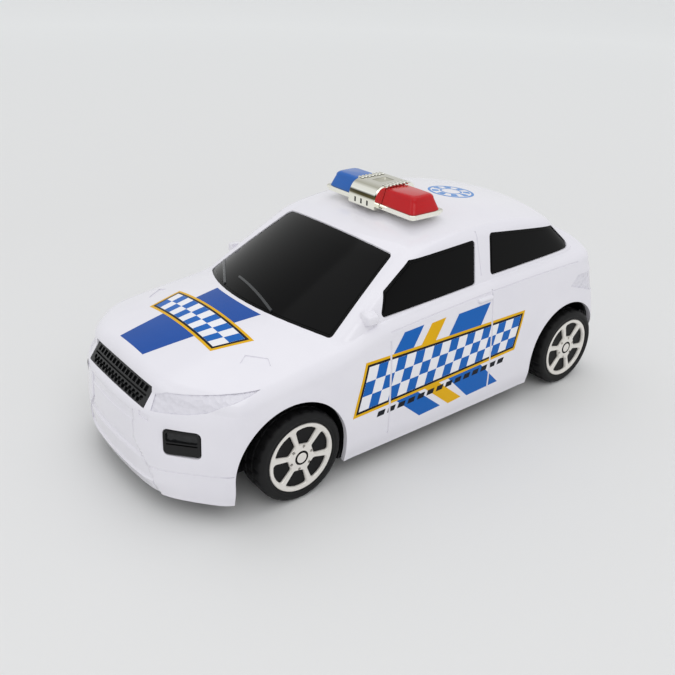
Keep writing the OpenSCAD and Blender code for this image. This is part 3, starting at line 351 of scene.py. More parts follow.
# Places for outlines: an origin, the outline's two axes and the axis along which it is raised
SIDE = ((0, 0, 0), (1, 0, 0), (0, 0, 1), (0, 1, 0))
PLAN = ((0, 0, 0), (1, 0, 0), (0, 1, 0), (0, 0, 1))
FACE = ((0, 0, 0), (0, 1, 0), (0, 0, 1), (1, 0, 0))
BEVEL = ((0, 0, 0), (-FRONT_CORNER[1], FRONT_CORNER[0], 0), (0, 0, 1), (*FRONT_CORNER, 0))
TAIL = ((0, 0, 0), (REAR_CORNER[1], REAR_CORNER[0], 0), (0, 0, 1), (-REAR_CORNER[0], REAR_CORNER[1], 0))


def side_faces(m, last):
    """Faces between rings of m points, from the first ring to the last."""
    return [(k * m + i, k * m + (i + 1) % m, (k + 1) * m + (i + 1) % m, (k + 1) * m + i)
            for k in range(last) for i in range(m)]


def layers(place, outlines):
    """Closed solid through outlines of equal length, each with its height along the place's last axis."""
    o, u, v, n = (np.array(a, float) for a in place)
    verts = [o + u * a + v * b + n * h for points, h in outlines for a, b in points]
    m, last = len(outlines[0][0]), len(outlines) - 1
    faces = [tuple(range(m - 1, -1, -1)), tuple(last * m + i for i in range(m))] + side_faces(m, last)
    if np.cross(u, v) @ n < 0:
        faces = [tuple(reversed(f)) for f in faces]
    return np.array(verts), faces


def prism(place, points, low, high):
    """Straight solid over one outline."""
    return layers(place, [(points, low), (points, high)])


def tube(path, r, sides=8):
    """Closed round bar along points in space."""
    path = np.array(path, float)
    along = np.gradient(path, axis=0)
    verts = []
    for p, t in zip(path, along):
        t = t / np.linalg.norm(t)
        a = np.cross(t, (0, 0, 1) if abs(t[2]) < 0.8 else (1, 0, 0))
        a /= np.linalg.norm(a)
        b = np.cross(t, a)
        verts += [p + r * (a * math.cos(k) + b * math.sin(k)) for k in np.arange(sides) * 2 * math.pi / sides]
    last = len(path) - 1
    faces = side_faces(sides, last)
    faces += [tuple(range(sides - 1, -1, -1)), tuple(last * sides + i for i in range(sides))]
    return np.array(verts), faces


def hull(points):
    """Smallest convex solid round the points."""
    bm = bmesh.new()
    for p in points:
        bm.verts.new(p)
    out = bmesh.ops.convex_hull(bm, input=bm.verts)
    inner = [g for g in out["geom_interior"] if isinstance(g, bmesh.types.BMVert)]
    bmesh.ops.delete(bm, geom=inner, context="VERTS")
    bmesh.ops.recalc_face_normals(bm, faces=bm.faces)
    bm.verts.index_update()
    shape = np.array([v.co for v in bm.verts]), [tuple(v.index for v in f.verts) for f in bm.faces]
    bm.free()
    return shape


def ball(x, y, z, r, n=8):
    """Points of a ball, for a hull."""
    return [(x + r * math.sin(a) * math.cos(b), y + r * math.sin(a) * math.sin(b), z + r * math.cos(a))
            for a in np.linspace(0, math.pi, n + 1) for b in np.arange(2 * n) * math.pi / n]


def revolve(x, side, profile, n, wave):
    """Closed ring about a wheel's axis from radii, changed by wave, and distances from the middle line."""
    m = len(profile)
    verts = []
    for i in range(n):
        a = 2 * math.pi * i / n
        for k, (r, y) in enumerate(profile):
            r += wave(i, k)
            verts.append((x + r * math.cos(a), side * y, AXLE_Z + r * math.sin(a)))
    faces = [(i * m + k, (i + 1) % n * m + k, (i + 1) % n * m + (k + 1) % m, i * m + (k + 1) % m)
             for i in range(n) for k in range(m)]
    if turns_left(profile) == (side > 0):
        faces = [tuple(reversed(f)) for f in faces]
    return np.array(verts), faces


def material(name, color, rough, second=None, mottle=40, grain=1800, depth=0.04, spread=0.05, cells=0,
             **sockets):
    """Moulded or painted surface.

    Its colour and gloss vary over millimetres, and a fine grain or cells stand in relief by depth. The
    shader's other inputs are named with underscores.
    """
    mat = bpy.data.materials.new(name)
    mat.use_nodes = True
    nodes, links = mat.node_tree.nodes, mat.node_tree.links
    shader = nodes["Principled BSDF"]
    where = nodes.new("ShaderNodeTexCoord")
    broad, fine = nodes.new("ShaderNodeTexNoise"), nodes.new("ShaderNodeTexNoise")
    broad.inputs["Scale"].default_value, broad.inputs["Detail"].default_value = mottle, 3
    fine.inputs["Scale"].default_value, fine.inputs["Detail"].default_value = grain, 2
    ramp = nodes.new("ShaderNodeValToRGB")
    first_stop, last_stop = ramp.color_ramp.elements
    first_stop.position, last_stop.position = 0.3, 0.7
    first_stop.color = (*color, 1)
    last_stop.color = (*(second or [c * 0.94 for c in color]), 1)
    gloss = nodes.new("ShaderNodeMapRange")
    gloss.inputs["To Min"].default_value = max(0.02, rough - spread)
    gloss.inputs["To Max"].default_value = rough + spread
    bump = nodes.new("ShaderNodeBump")
    bump.inputs["Strength"].default_value, bump.inputs["Distance"].default_value = 1, depth / 1000
    for node in (broad, fine):
        links.new(where.outputs["Object"], node.inputs["Vector"])
    links.new(broad.outputs["Fac"], ramp.inputs["Fac"])
    links.new(broad.outputs["Fac"], gloss.inputs["Value"])
    links.new(ramp.outputs["Color"], shader.inputs["Base Color"])
    links.new(gloss.outputs["Result"], shader.inputs["Roughness"])
    height = fine.outputs["Fac"]
    if cells:
        pebbles = nodes.new("ShaderNodeTexVoronoi")
        pebbles.inputs["Scale"].default_value = cells
        links.new(where.outputs["Object"], pebbles.inputs["Vector"])
        height = pebbles.outputs["Distance"]
    links.new(height, bump.inputs["Height"])
    links.new(bump.outputs["Normal"], shader.inputs["Normal"])
    for socket, value in sockets.items():
        shader.inputs[socket.replace("_", " ")].default_value = value
    return mat


def srgb(r, g, b):
    """Colour of the given screen values, for a shader."""
    return tuple((c / 255 / 12.92) if c < 10.3 else ((c / 255 + 0.055) / 1.055) ** 2.4 for c in (r, g, b))


white = material("white_plastic", srgb(236, 234, 240), 0.2, srgb(232, 230, 237), depth=0.004,
                 Coat_Weight=0.3, Coat_Roughness=0.08)
pebbled = material("white_pebbled", srgb(229, 227, 235), 0.24, depth=0.45, cells=560, Coat_Weight=0.3)
glass = material("window_black", srgb(6, 6, 7), 0.12, srgb(4, 4, 5), depth=0.003, spread=0.03,
                 Specular_IOR_Level=0.1)
trim = material("trim_black", srgb(24, 25, 27), 0.34, srgb(18, 19, 21), depth=0.02, Specular_IOR_Level=0.4)
# Painted highlight: the black wiper arms are coloured mid grey to stand in for light along their edges; their
# higher specular is real gloss
wiper_painted_highlight = material("wiper_grey_painted_highlight", srgb(58, 61, 63), 0.28, srgb(48, 50, 52), depth=0.01, Specular_IOR_Level=0.6)
lamp_black = material("lamp_black", srgb(12, 12, 13), 0.2, srgb(9, 9, 10), depth=0.01, Specular_IOR_Level=0.3)
trim_pebbled = material("trim_pebbled", srgb(22, 23, 25), 0.26, depth=0.24, cells=560, Specular_IOR_Level=0.4)
under = material("chassis_black", srgb(18, 18, 20), 0.5, srgb(13, 13, 15), depth=0.03,
                 Specular_IOR_Level=0.25)
rubber = material("tyre_rubber", srgb(22, 22, 23), 0.6, srgb(16, 16, 17), depth=0.05, grain=2600,
                  Specular_IOR_Level=0.25)
hub_black = material("hub_black", srgb(12, 12, 13), 0.5, depth=0.03, Specular_IOR_Level=0.2)
silver = material("disc_silver", srgb(238, 234, 228), 0.34, srgb(231, 227, 220), depth=0.012, grain=4200,
                  Metallic=0.2)
steel = material("steel", srgb(190, 190, 192), 0.28, depth=0.02, grain=900, Metallic=1.0)
ivory = material("gear_plastic", srgb(226, 220, 200), 0.42, depth=0.02)
brass = material("brass", srgb(206, 172, 104), 0.3, depth=0.02, Metallic=1.0)
iron = material("flywheel_iron", srgb(150, 150, 152), 0.4, depth=0.03, grain=700, Metallic=1.0)
natural = material("gearbox_plastic", srgb(224, 222, 212), 0.45, depth=0.02)
# Its base colour is replaced below by painted reflection bands
chrome = material("plated_plastic", srgb(228, 222, 206), 0.1, srgb(220, 212, 192), depth=0.006, spread=0.03,
                  grain=700, Metallic=1.0)
LENS_GLOSS = {"depth": 0.003, "spread": 0.03, "Specular_IOR_Level": 0.25, "Coat_Weight": 0.2,
              "Coat_Roughness": 0.04}
red_lens = material("lens_red", srgb(204, 6, 22), 0.1, srgb(190, 4, 16), **LENS_GLOSS)
blue_lens = material("lens_blue", srgb(30, 104, 190), 0.1, srgb(24, 92, 176), **LENS_GLOSS)
INKS = {"blue": (14, 100, 186), "deep": (26, 80, 164), "yellow": (232, 178, 0), "dark": (12, 16, 28),
        "white": (242, 242, 246), "sky": (84, 144, 212)}
prints = {name: material("print_" + name, srgb(*ink), 0.3, depth=0.004, mottle=90, Specular_IOR_Level=0.15)
          for name, ink in INKS.items()}


def paint_reflection_bands(mat, bands):
    """Painted reflection: bright and dark bands of a mirror in a studio, coloured by how far each face turns
    up.
    """
    nodes, links = mat.node_tree.nodes, mat.node_tree.links
    facing, ramp = nodes.new("ShaderNodeSeparateXYZ"), nodes.new("ShaderNodeValToRGB")
    stops = ramp.color_ramp.elements
    while len(stops) < len(bands):
        stops.new(0.5)
    for stop, (position, shade) in zip(stops, bands):
        stop.position, stop.color = position, (*srgb(*shade), 1)
    links.new(nodes["Texture Coordinate"].outputs["Normal"], facing.inputs["Vector"])
    links.new(facing.outputs["Z"], ramp.inputs["Fac"])
    links.new(ramp.outputs["Color"], nodes["Principled BSDF"].inputs["Base Color"])


# Painted reflection: the plated parts' base colour becomes bright and dark bands by which way each face turns
paint_reflection_bands(chrome, ((0, (252, 251, 240)), (0.1, (248, 246, 232)), (0.2, (96, 88, 58)), (0.36, (58, 54, 38)),
               (0.46, (254, 254, 248)), (0.7, (246, 245, 236)), (0.86, (188, 186, 172)),
               (1, (206, 204, 192))))

# Bumper panel: half width at each height, and how far each height stands back; lips of the wheel arches
PANEL = [(8, 26), (18.3, 23.2), (26.7, 15.9), (38.5, 15.9)]
LEDGES = [(8, -0.8), (12.6, -0.1), (13.1, -0.9), (20.9, -0.1), (21.4, -0.9), (32.6, -0.15), (33.1, -0.7),
          (37, -0.2)]
PANEL_TOP, ARCH_LIP, ARCH_LIP_R = 37, 0.22, 27.5


def body_relief(ring):
    """Points of the lower body with the bumper panel's ledges and the lips of the arches."""
    x, y, z = ring.T
    out = ring.copy()
    edge = np.interp(z, *zip(*PANEL))
    inside = ease((edge - np.abs(y)) / 0.9 + 0.5) * ease((PANEL_TOP - z) / 1.2) * (x > 90)
    out[:, 0] += inside * np.interp(z, *zip(*LEDGES))
    for axle in AXLE_X:
        away = np.hypot(x - axle - ARCH_SHIFT, z - AXLE_Z)
        out[:, 1] += np.sign(y) * ARCH_LIP * ease((ARCH_LIP_R - away) / 3.5) * (np.abs(y) > 40)
    return out


def sill_line(x):
    """Height of the side windows' lower edge."""
    return float(lower_top(x, CABIN_HALF)) + 1.6


def head_line(x):
    """Height of the side windows' upper edge."""
    return float(roof_top(x, CABIN_HALF - 7)) - 3.4


FRONT_PANE = [(23.7, sill_line(26) + 1), (21.2, sill_line(26) + 6.6), (8.5, head_line(8.5) + 0.8),
              (-22.5, head_line(-20) - 1.6), (-20, sill_line(-20))]
REAR_PANE = [(-70.5, head_line(-70.5) - 0.8), (-79, sill_line(-70.5) + 1.6), (-32, sill_line(-32) + 1.2),
             (-34, head_line(-32) - 0.8)]
SPREAD = np.linspace(-1, 1, 17)
SCREEN = [(COWL_X - 0.6 - (SCREEN_HALF * s) ** 2 / 132, SCREEN_HALF * s) for s in SPREAD]
SCREEN += [(COWL_X - 43 - (SCREEN_TOP_HALF * s) ** 2 / 290, -SCREEN_TOP_HALF * s) for s in SPREAD]
TAIL_PANE = [(-33, COWL_Z + 6.5), (33, COWL_Z + 6.5), (28.5, ROOF_Z - 9.5), (-28.5, ROOF_Z - 9.5)]


def windows(grow):
    """Prisms through the window openings, moved out by grow."""
    sides = [both(prism(SIDE, rounded(p, 1.6 + grow), HALF_W / 2, 70)) for p in (FRONT_PANE, REAR_PANE)]
    screen = prism(PLAN, rounded(offset(SCREEN, -2), 2 + grow), COWL_Z - 9, 90)
    tail = prism(FACE, rounded(offset(TAIL_PANE, -2.5), 2.5 + grow), -120, -61)
    return sides + [screen, tail]


def tree_of(obj):
    """Search tree of an object's faces, in millimetres."""
    mesh = obj.data
    return BVHTree.FromPolygons([v.co * 1000 for v in mesh.vertices], [p.vertices[:] for p in mesh.polygons])


def on_surface(tree, path, axis, far=200):
    """Points of a path laid on the body along an axis, from outside."""
    made = []
    for p in path:
        start = Vector(p) + Vector(axis) * far
        hit = tree.ray_cast(start, -Vector(axis))[0]
        if hit:
            made.append(tuple(hit))
    return made


def line(a, b, n):
    """Points from a to b in n equal steps."""
    return [tuple(np.add(a, np.subtract(b, a) * k / n)) for k in range(n + 1)]


def route(*corners, step=1.2):
    """Points along straight runs between corners in space."""
    made = []
    for a, b in zip(corners, corners[1:]):
        made += line(a, b, max(2, round(math.dist(a, b) / step)))[:-1]
    return made + [corners[-1]]


# Grille: radius of its face in plan, middle of the face in X and Z, and its lean
GRILLE_R, GRILLE_AT, GRILLE_LEAN = 210, (104.76, 42.9), math.atan(5.525 / 7.5)


def grille_place(angle, depth, height):
    """Point of the grille: angle round its face in degrees, depth behind it and height along its lean."""
    r, a = GRILLE_R - depth, math.radians(angle)
    x, y = r * math.cos(a) - GRILLE_R, r * math.sin(a)
    cos, sin = math.cos(GRILLE_LEAN), math.sin(GRILLE_LEAN)
    return GRILLE_AT[0] + x * cos - height * sin, y, GRILLE_AT[1] + x * sin + height * cos


def grille_block(half, low, high, back, front, n=28):
    """Curved block of the grille; half is its half width in millimetres along the face."""
    turn = math.degrees(half / GRILLE_R)
    verts = []
    for i in range(n + 1):
        a = turn * (2 * i / n - 1)
        verts += [grille_place(a, d, h) for d, h in ((back, low), (front, low), (front, high), (back, high))]
    return np.array(verts), side_faces(4, n) + [(3, 2, 1, 0), tuple(4 * n + k for k in range(4))]


def grille_cell(points, angle, back, front):
    """Prism through the grille's face at an angle round it."""
    m = len(points)
    verts = [grille_place(angle + math.degrees(a / GRILLE_R), d, h) for d in (back, front) for a, h in points]
    faces = [tuple(range(m)), tuple(range(2 * m - 1, m - 1, -1))]
    faces += [(i, (i + 1) % m, m + (i + 1) % m, m + i) for i in range(m)]
    return np.array(verts), faces


# Body shell
shell = new_object("shell", lower_loft(relief=body_relief), white)
combine(shell, cabin_loft(), "UNION")
body_tree = tree_of(shell)
combine(shell, lower_loft(WALL, SILL_Z - 1, 0.4), "DIFFERENCE")
combine(shell, cabin_loft(WALL, COWL_Z - 10, 0.4), "DIFFERENCE")

# Door mirrors and handles: round outside, with a foot in the wall
MIRROR = [p for x in (29.2, 32.0) for z in (58.6, 60.0) for p in ball(x, 45.0, z, 1.1)]
MIRROR_FOOT = [(x, 41.5, z) for x in (28, 33.4) for z in (56.6, 61.6)]
HANDLE = [p for x in (-27.2, -21) for p in ball(x, 47.6, 54.6, 1.0)]
HANDLE_FOOT = [(x, 45, z) for x in (-28.4, -19.8) for z in (53, 56)]
for lump, foot in ((MIRROR, MIRROR_FOOT), (HANDLE, HANDLE_FOOT)):
    combine(shell, both(hull(lump + foot)), "UNION")

# Openings for the windows, wheels, grille and fog lamps
for opening in windows(0):
    combine(shell, opening, "DIFFERENCE")
for axle in AXLE_X:
    mid = axle + ARCH_SHIFT
    arch_line = [(mid + ARCH_R * math.cos(a), AXLE_Z + ARCH_R * math.sin(a))
                 for a in np.linspace(0, math.pi, 65)]
    arch_line += [(mid - ARCH_R, 5), (mid + ARCH_R, 5)]
    combine(shell, both(prism(SIDE, arch_line, ARCH_IN, 52)), "DIFFERENCE")
FOG = ((100.31, 34.6, 30.0), *BEVEL[1:])
combine(shell, grille_block(21.25, -3.85, 3.85, 12, -4), "DIFFERENCE")
combine(shell, both(prism(FOG, box_outline(13.3, 9.5, 1.85), -8, 4)), "DIFFERENCE")


def recess(shape, depth, finish):
    """Sinks the lower body inside a closed shape by depth."""
    tool = new_object("tool", shape, finish)
    combine(tool, lower_loft(depth), "DIFFERENCE", finish)
    combine(shell, tool, "DIFFERENCE")


# Lamps moulded in the shell, a small slot beside the bumper panel, and shallow vents in the bonnet
HEADLIGHT = [(-51.4, 39.3), (-38, 40.5), (-31.7, 41.8), (-26.8, 44.4), (-19.2, 46.6), (-16.8, 47.6),
             (-26, 47.5), (-45.8, 46.2), (-50.4, 44.3)]
BUMPER_SLOT = [(19.4, 36.2), (23.8, 35.6), (24, 37.4), (19.3, 38.1)]
TAILLIGHT = [(-44, 40.5), (-31, 39), (-18, 42), (-9, 47), (-12, 51), (-30, 51), (-43, 49)]
VENT = [(68.8, 39.3), (67.6, 35.8), (73, 30.3), (76.6, 32.7)]
recess(both(prism(BEVEL, HEADLIGHT, 84, 120)), 0.35, pebbled)
recess(both(prism(FACE, BUMPER_SLOT, 95, 120)), 0.3, white)
recess(both(prism(TAIL, TAILLIGHT, 80, 130)), 0.4, pebbled)
recess(both(prism(PLAN, VENT, 40, 75)), 0.35, white)

# Fine grooves: bumper, doors, pillars, belt and tailgate
AHEAD, LEFT, BEHIND = (1, 0, 0), (0, 1, 0), (-1, 0, 0)
LIP_Z = 18.4
bumper_edge = route((0, 15.9, 37), (0, 15.9, 26.7), (0, 23.2, 18.3), (0, 25.6, 9.4))
door_front = route((24, 0, 13), (24, 0, 50.5))
door_rear = route((-29.5, 0, 15), (-28.2, 0, 57.5))
pillar = route((-25.6, 0, 78.5), (-25.2, 0, 62.5))
belt = [(x, 0, float(lower_top(x, 47)) - 3.2) for x in np.arange(24, -84, -1.5)]
hatch = route((0, 37, 55), (0, 36, 46), (0, 34, 33), (0, 0, 32.2))
rear_bumper = route((0, 44, 24.5), (0, 30, 23.6), (0, 0, 23.2))
round_body = walk(HALF_L, -HALF_L, HALF_W, *LOWER_STEPS)
lip_x, lip_y = lower_point(round_body, np.full(len(round_body), LIP_Z), 0)
lip = [(x, y, LIP_Z + 0.06 * (y - 23)) for x, y in zip(lip_x, lip_y) if x > 88 and y > 23.4]


def traced(path, axis, r):
    """A path laid on the body, with the radius of its groove."""
    return on_surface(body_tree, path, axis), r


door_grooves = [traced(path, LEFT, 0.42) for path in (door_front, door_rear)]
grooves = [traced(bumper_edge, AHEAD, 0.42), (lip, 0.26), *door_grooves, traced(pillar, LEFT, 0.35),
           traced(belt, LEFT, 0.25), traced(hatch, BEHIND, 0.35), traced(rear_bumper, BEHIND, 0.3)]
for path, r in grooves:
    if path[-1][1] > 0.5:
        groove = both(tube(path, r))
    else:
        groove = tube(path + [(x, -y, z) for x, y, z in reversed(path[:-1])], r)
    combine(shell, groove, "DIFFERENCE")
polish(shell)

# Window moulding: a rim and a raised pane in each opening, and two wiper arms on the windscreen
PANE_LEVELS = ((0.4, -0.15), (0.22, -1.3))
panes = new_object("windows", cabin_loft(WALL + 0.15, COWL_Z - 5, 0.6), glass)
for depth, grow in PANE_LEVELS:
    for opening in windows(grow):
        level = new_object("tool", opening, glass)
        combine(level, cabin_loft(depth, COWL_Z - 5), "INTERSECT", glass)
        combine(panes, level, "UNION")
combine(panes, cabin_loft(3.05, COWL_Z - 6, 0.6), "DIFFERENCE")
pane_tree = tree_of(panes)
for y0, y1 in ((16, -12), (-15, -37)):
    pivot, tip = (55.2 - y0 * y0 / 110, y0, 0), (49.5 - y1 * y1 / 150, y1, 0)
    arm = on_surface(pane_tree, line(pivot, tip, 20), (0, 0, 1))
    # The arms take the lighter grey of the painted highlight
    combine(panes, tube(arm, 0.55), "UNION", wiper_painted_highlight)
polish(panes)

# Grille: slanted cells above a deep groove, two rows of honeycomb below
CELL_STEP = 2.55
SLANTED = [(-1.0, 0.9), (0.9, 0.9), (1.1, 2.9), (-0.8, 2.9)]
SIXTHS = [math.radians(a) for a in range(0, 360, 60)]


def cell_angle(count):
    """Angle round the grille of a cell counted from its middle."""
    return math.degrees(count * CELL_STEP / GRILLE_R)


grille = new_object("grille", grille_block(21, -3.6, 3.6, 2.4, 0), trim)
slanted_cells = [grille_cell(SLANTED, cell_angle(i), 0.9, -1) for i in range(-7, 8)]
combine(grille, join(*slanted_cells), "DIFFERENCE")
for height, shift, end in ((-1.55, 0, 8), (-2.65, 0.5, 7)):
    hexagon = [(1.08 * math.cos(a), height + 0.86 * math.sin(a)) for a in SIXTHS]
    comb = [grille_cell(hexagon, cell_angle(i + shift), 1.1, -1) for i in range(-7, end)]
    combine(grille, join(*comb), "DIFFERENCE")
combine(grille, grille_block(19.6, -0.35, 0.3, 1.2, -1), "DIFFERENCE")
polish(grille)


def fog_lamp(name, side):
    """Black block with a pebbled window above a groove."""
    def sided(shape):
        return shape if side > 0 else mirrored(shape)

    block, face = box_outline(12.8, 9, 1.6), box_outline(12.4, 8.6, 1.4)
    window, slot = box_outline(10.8, 3.4, 0.8, 6, 0, 2.1), box_outline(10.6, 0.5, 0.2, 3, 0, -0.4)
    lamp = new_object(name, sided(layers(FOG, [(block, -3), (block, -0.6), (face, -0.3)])), lamp_black)
    combine(lamp, sided(prism(FOG, window, -1.0, 1)), "DIFFERENCE", trim_pebbled)
    combine(lamp, sided(prism(FOG, slot, -1.2, 1)), "DIFFERENCE")
    return polish(lamp)


fog_left, fog_right = fog_lamp("fog_left", 1), fog_lamp("fog_right", -1)

# Wheels: the tyre's profile and the share of the tread's depth at its points, then the disc
PROFILE = [(13.25, 35.7), (15.2, 35.6), (16.3, 35.9), (16.9, 36.5), (17.15, 37.3), (17.2, 38.2),
           (17.2, 39.2), (16.75, 39.3), (16.75, 40.1), (17.2, 40.2), (17.2, 41.5), (17.2, 42.9),
           (16.75, 43.0), (16.75, 43.8), (17.2, 43.9), (17.2, 45.2), (17.2, 46.1), (17.05, 46.9),
           (16.7, 47.5), (16.1, 47.95), (15.4, 48.15), (14.7, 48.2), (14.45, 48.05), (13.95, 48.05),
           (13.7, 48.18), (13.4, 48.1), (13.25, 47.8)]
TREAD = {4: 0.3, 5: 1, 6: 1, 9: 1, 10: 1, 11: 1, 14: 1, 15: 1, 16: 1, 17: 0.5, 18: 0.2}
TREAD_DEPTH, MIDDLE_RIB = 0.4, (9, 10, 11)
DISC_LAYERS = ((12.9, 46.9), (DISC_R, 47.05), (DISC_R, 47.75), (12.95, 47.95), (12.7, 48.0), (12.1, 48.0),
               (11.8, 47.9), (2.9, 47.9), (1.9, 48.0), (1.2, 48.0))
SPOKE_WINDOW = ((0.47, -13.5), (0.8, -19), (0.81, -9.5), (0.815, 0), (0.81, 9.5), (0.8, 19), (0.47, 13.5))
WINDOW_LEVELS = ((0, 46), (0, 47.45), (0.28, 47.8), (0.34, 48.6))
FIRST_WINDOW, BOLT_R, BOLT_RING_R = 42, 0.6, 4.35


def tread(i, k):
    """Depth of the cross grooves, set over by half a pitch on the middle rib."""
    turn = i + (4 if k in MIDDLE_RIB else 0)
    return -TREAD_DEPTH * TREAD.get(k, 0) * (turn % 8 in (0, 1))


def spoke_window(turn, grow=0.0):
    """Outline of the window between two spokes, turned by degrees."""
    points = [(DISC_R * k * math.cos(math.radians(a + turn)), DISC_R * k * math.sin(math.radians(a + turn)))
              for k, a in SPOKE_WINDOW]
    return rounded(points, 0.9 + grow, 5)


def wheel_disc(name, place):
    """Disc with six windows, six bolt holes and a black ring round its middle."""
    disc = new_object(name, layers(place, [(circle(r, 128), y) for r, y in DISC_LAYERS]), silver)
    for i in range(6):
        turn = FIRST_WINDOW + 60 * i
        a = math.radians(turn)
        levels = [(spoke_window(turn, grow), y) for grow, y in WINDOW_LEVELS]
        bolt = circle(BOLT_R, 20, BOLT_RING_R * math.cos(a), BOLT_RING_R * math.sin(a))
        combine(disc, layers(place, levels), "DIFFERENCE")
        combine(disc, prism(place, bolt, 46, 49), "DIFFERENCE")
    ring = new_object("tool", prism(place, circle(2.75), 47.1, 49), hub_black)
    combine(ring, prism(place, circle(1.95), 46, 50), "DIFFERENCE")
    return polish(combine(disc, ring, "DIFFERENCE"))


wheel_parts = []
for end, axle in zip(("front", "rear"), AXLE_X):
    for side_name, side in (("left", 1), ("right", -1)):
        corner = f"{end}_{side_name}"
        tyre = new_object(f"tyre_{corner}_rubber", revolve(axle, side, PROFILE, 192, tread), rubber)
        disc = wheel_disc(f"disc_{corner}_silver", ((axle, 0, AXLE_Z), (1, 0, 0), (0, 0, 1), (0, side, 0)))
        wheel_parts += [(polish(tyre, 40), "tyre_" + corner, end, "tyre_black"),
                        (disc, "disc_" + corner, end, "disc_silver")]

# Light bar: the tray's levels as insets and heights
ON_ROOF = ((BAR_X, 0, BAR_Z), *PLAN[1:])
ACROSS = ((BAR_X, 0, BAR_Z), *SIDE[1:])
TRAY_LEVELS = ((0.9, 0), (0.7, 0.15), (0.7, 0.9), (0.25, 1.05), (0, 1.25), (0, 1.9), (0.25, 2.15),
               (0.6, TRAY_T))
tray_rings = [(box_outline(BAR_D - 2 * d, BAR_L - 2 * d, 2 - d / 2), h) for d, h in TRAY_LEVELS]
tray = new_object("lightbar_tray", layers(ON_ROOF, tray_rings), chrome)

# Lens: height and lean of its flanks, radius of its top edge, half depth, ends and corner radius
FLANK, FLANK_LEAN, EDGE_R = 4.2, 0.36, 1.8
LENS_HALF_D, LENS_START, LENS_END, LENS_CORNER_R = 7.3, 7.95, 25.4, 2.0


def lens(side):
    """Lens beside the bridge, with leaning flanks, a round top edge and round outer corners."""
    rings = []
    quarter = np.radians(range(0, 91, 15))
    heights = list(np.linspace(0, FLANK, 6))
    heights += [FLANK + EDGE_R * math.sin(math.radians(a)) for a in range(15, 91, 15)]
    for h in heights:
        lean = FLANK_LEAN * min(h, FLANK)
        if h > FLANK:
            lean += EDGE_R * (1 - math.cos(math.asin(min(1, (h - FLANK) / EDGE_R))))
        x, end, r = LENS_HALF_D - lean, LENS_END - 1.05 * lean, LENS_CORNER_R
        start = LENS_START + max(0, lean - 1.7)
        outline = [(-x, start), (x, start)]
        outline += [(x - r + r * math.cos(a), end - r + r * math.sin(a)) for a in quarter]
        outline += [(-x + r - r * math.sin(a), end - r + r * math.cos(a)) for a in quarter]
        rings.append((outline, TRAY_T + h))
    shape = layers(ON_ROOF, rings)
    return shape if side > 0 else mirrored(shape)


lens_left = polish(new_object("lens_left", lens(1), red_lens), 50)
lens_right = polish(new_object("lens_right", lens(-1), blue_lens), 50)

# Bridge: an arch over the tray with a sunk top, small slots at its foot painted black as shade, and ribs at
# both edges
CROWN, SPRING, FOOT_IN = BAR_H - 0.8, 3.0, 8.65
curve = [(6.2 + 4.9 * math.cos(a), SPRING + (CROWN - SPRING) * math.sin(a))
         for a in np.radians(range(0, 91, 10))]
half_arch = [(FOOT_IN, 0), (10.8, 0), (11.1, 0.3)] + curve
arch = half_arch + [(-x, z) for x, z in reversed(half_arch)]
arch += [(-FOOT_IN, TRAY_T + 0.02), (FOOT_IN, TRAY_T + 0.02)]
small_arch = [(x * 0.975, z * 0.96) if z > TRAY_T + 0.1 else (x, z) for x, z in arch]
bridge = new_object("lightbar_bridge_plated", layers(ACROSS, [
    (small_arch, -BRIDGE_HALF), (arch, -7.3), (arch, 7.3), (small_arch, BRIDGE_HALF)]), chrome)
sunk = [(box_outline(3.2, 2, 0.3), CROWN - 1.2), (box_outline(7, 5.4, 0.4), CROWN - 0.1),
        (box_outline(7.4, 5.8, 0.4), CROWN + 1)]
combine(bridge, layers(ON_ROOF, sunk), "DIFFERENCE")
# Painted shade: the slots' walls take the black trim, though the bridge is plated
for y in (-3.6, 0, 3.6):
    slot = box_outline(1.2, 2, 0.3, 6, 11.1, 2.0)
    combine(bridge, prism(ACROSS, slot, y - 0.45, y + 0.45), "DIFFERENCE", trim)
for i in range(7):
    x = BAR_X + (i - 3) * 1.75
    rib = hull([p for y in (6.3, 8.3) for p in ball(x, y, BAR_Z + CROWN - 0.05, 0.62, 6)])
    combine(bridge, both(rib), "UNION")
polish(bridge)

# Prints: thin skins over the shell, cut to shape
lower_skin = new_object("lower_skin", lower_loft(-0.045, relief=body_relief), white)
combine(lower_skin, lower_loft(-0.005, SILL_Z - 1, relief=body_relief), "DIFFERENCE")
roof_skin = new_object("roof_skin", cabin_loft(-0.045), white)
combine(roof_skin, cabin_loft(-0.005, COWL_Z - 10), "DIFFERENCE")
keep_off = [both(tube(path, r + 0.05)) for path, r in door_grooves]


def print_on(skin, colour, inside, outside=()):
    """Parts of a skin inside closed shapes and outside others, in one colour."""
    made = []
    for shape in inside:
        region = placed(skin.name, skin.data.copy())
        region.data.materials[0] = prints[colour]
        combine(region, shape, "INTERSECT")
        for cut in outside:
            combine(region, cut, "DIFFERENCE")
        made.append(region)
    return made


def gather(name, regions):
    """One piece from several printed regions, each with its own colour."""
    bm = bmesh.new()
    colours = []
    for region in regions:
        colour = region.data.materials[0]
        if colour not in colours:
            colours.append(colour)
        start = len(bm.faces)
        bm.from_mesh(region.data)
        bm.faces.ensure_lookup_table()
        for face in bm.faces[start:]:
            face.material_index = colours.index(colour)
    mesh = bpy.data.meshes.new(name)
    bm.to_mesh(mesh)
    bm.free()
    for colour in colours:
        mesh.materials.append(colour)
    for region in regions:
        discard(region)
    return polish(placed(name, mesh))


def quad(corners, s0, s1, t0, t1):
    """Part of a four-cornered band, by shares along it and across it."""
    a, b, c, d = (np.array(p, float) for p in corners)

    def at(s, t):
        return tuple((a * (1 - s) + b * s) * (1 - t) + (d * (1 - s) + c * s) * t)

    return [at(s0, t0), at(s1, t0), at(s1, t1), at(s0, t1)]


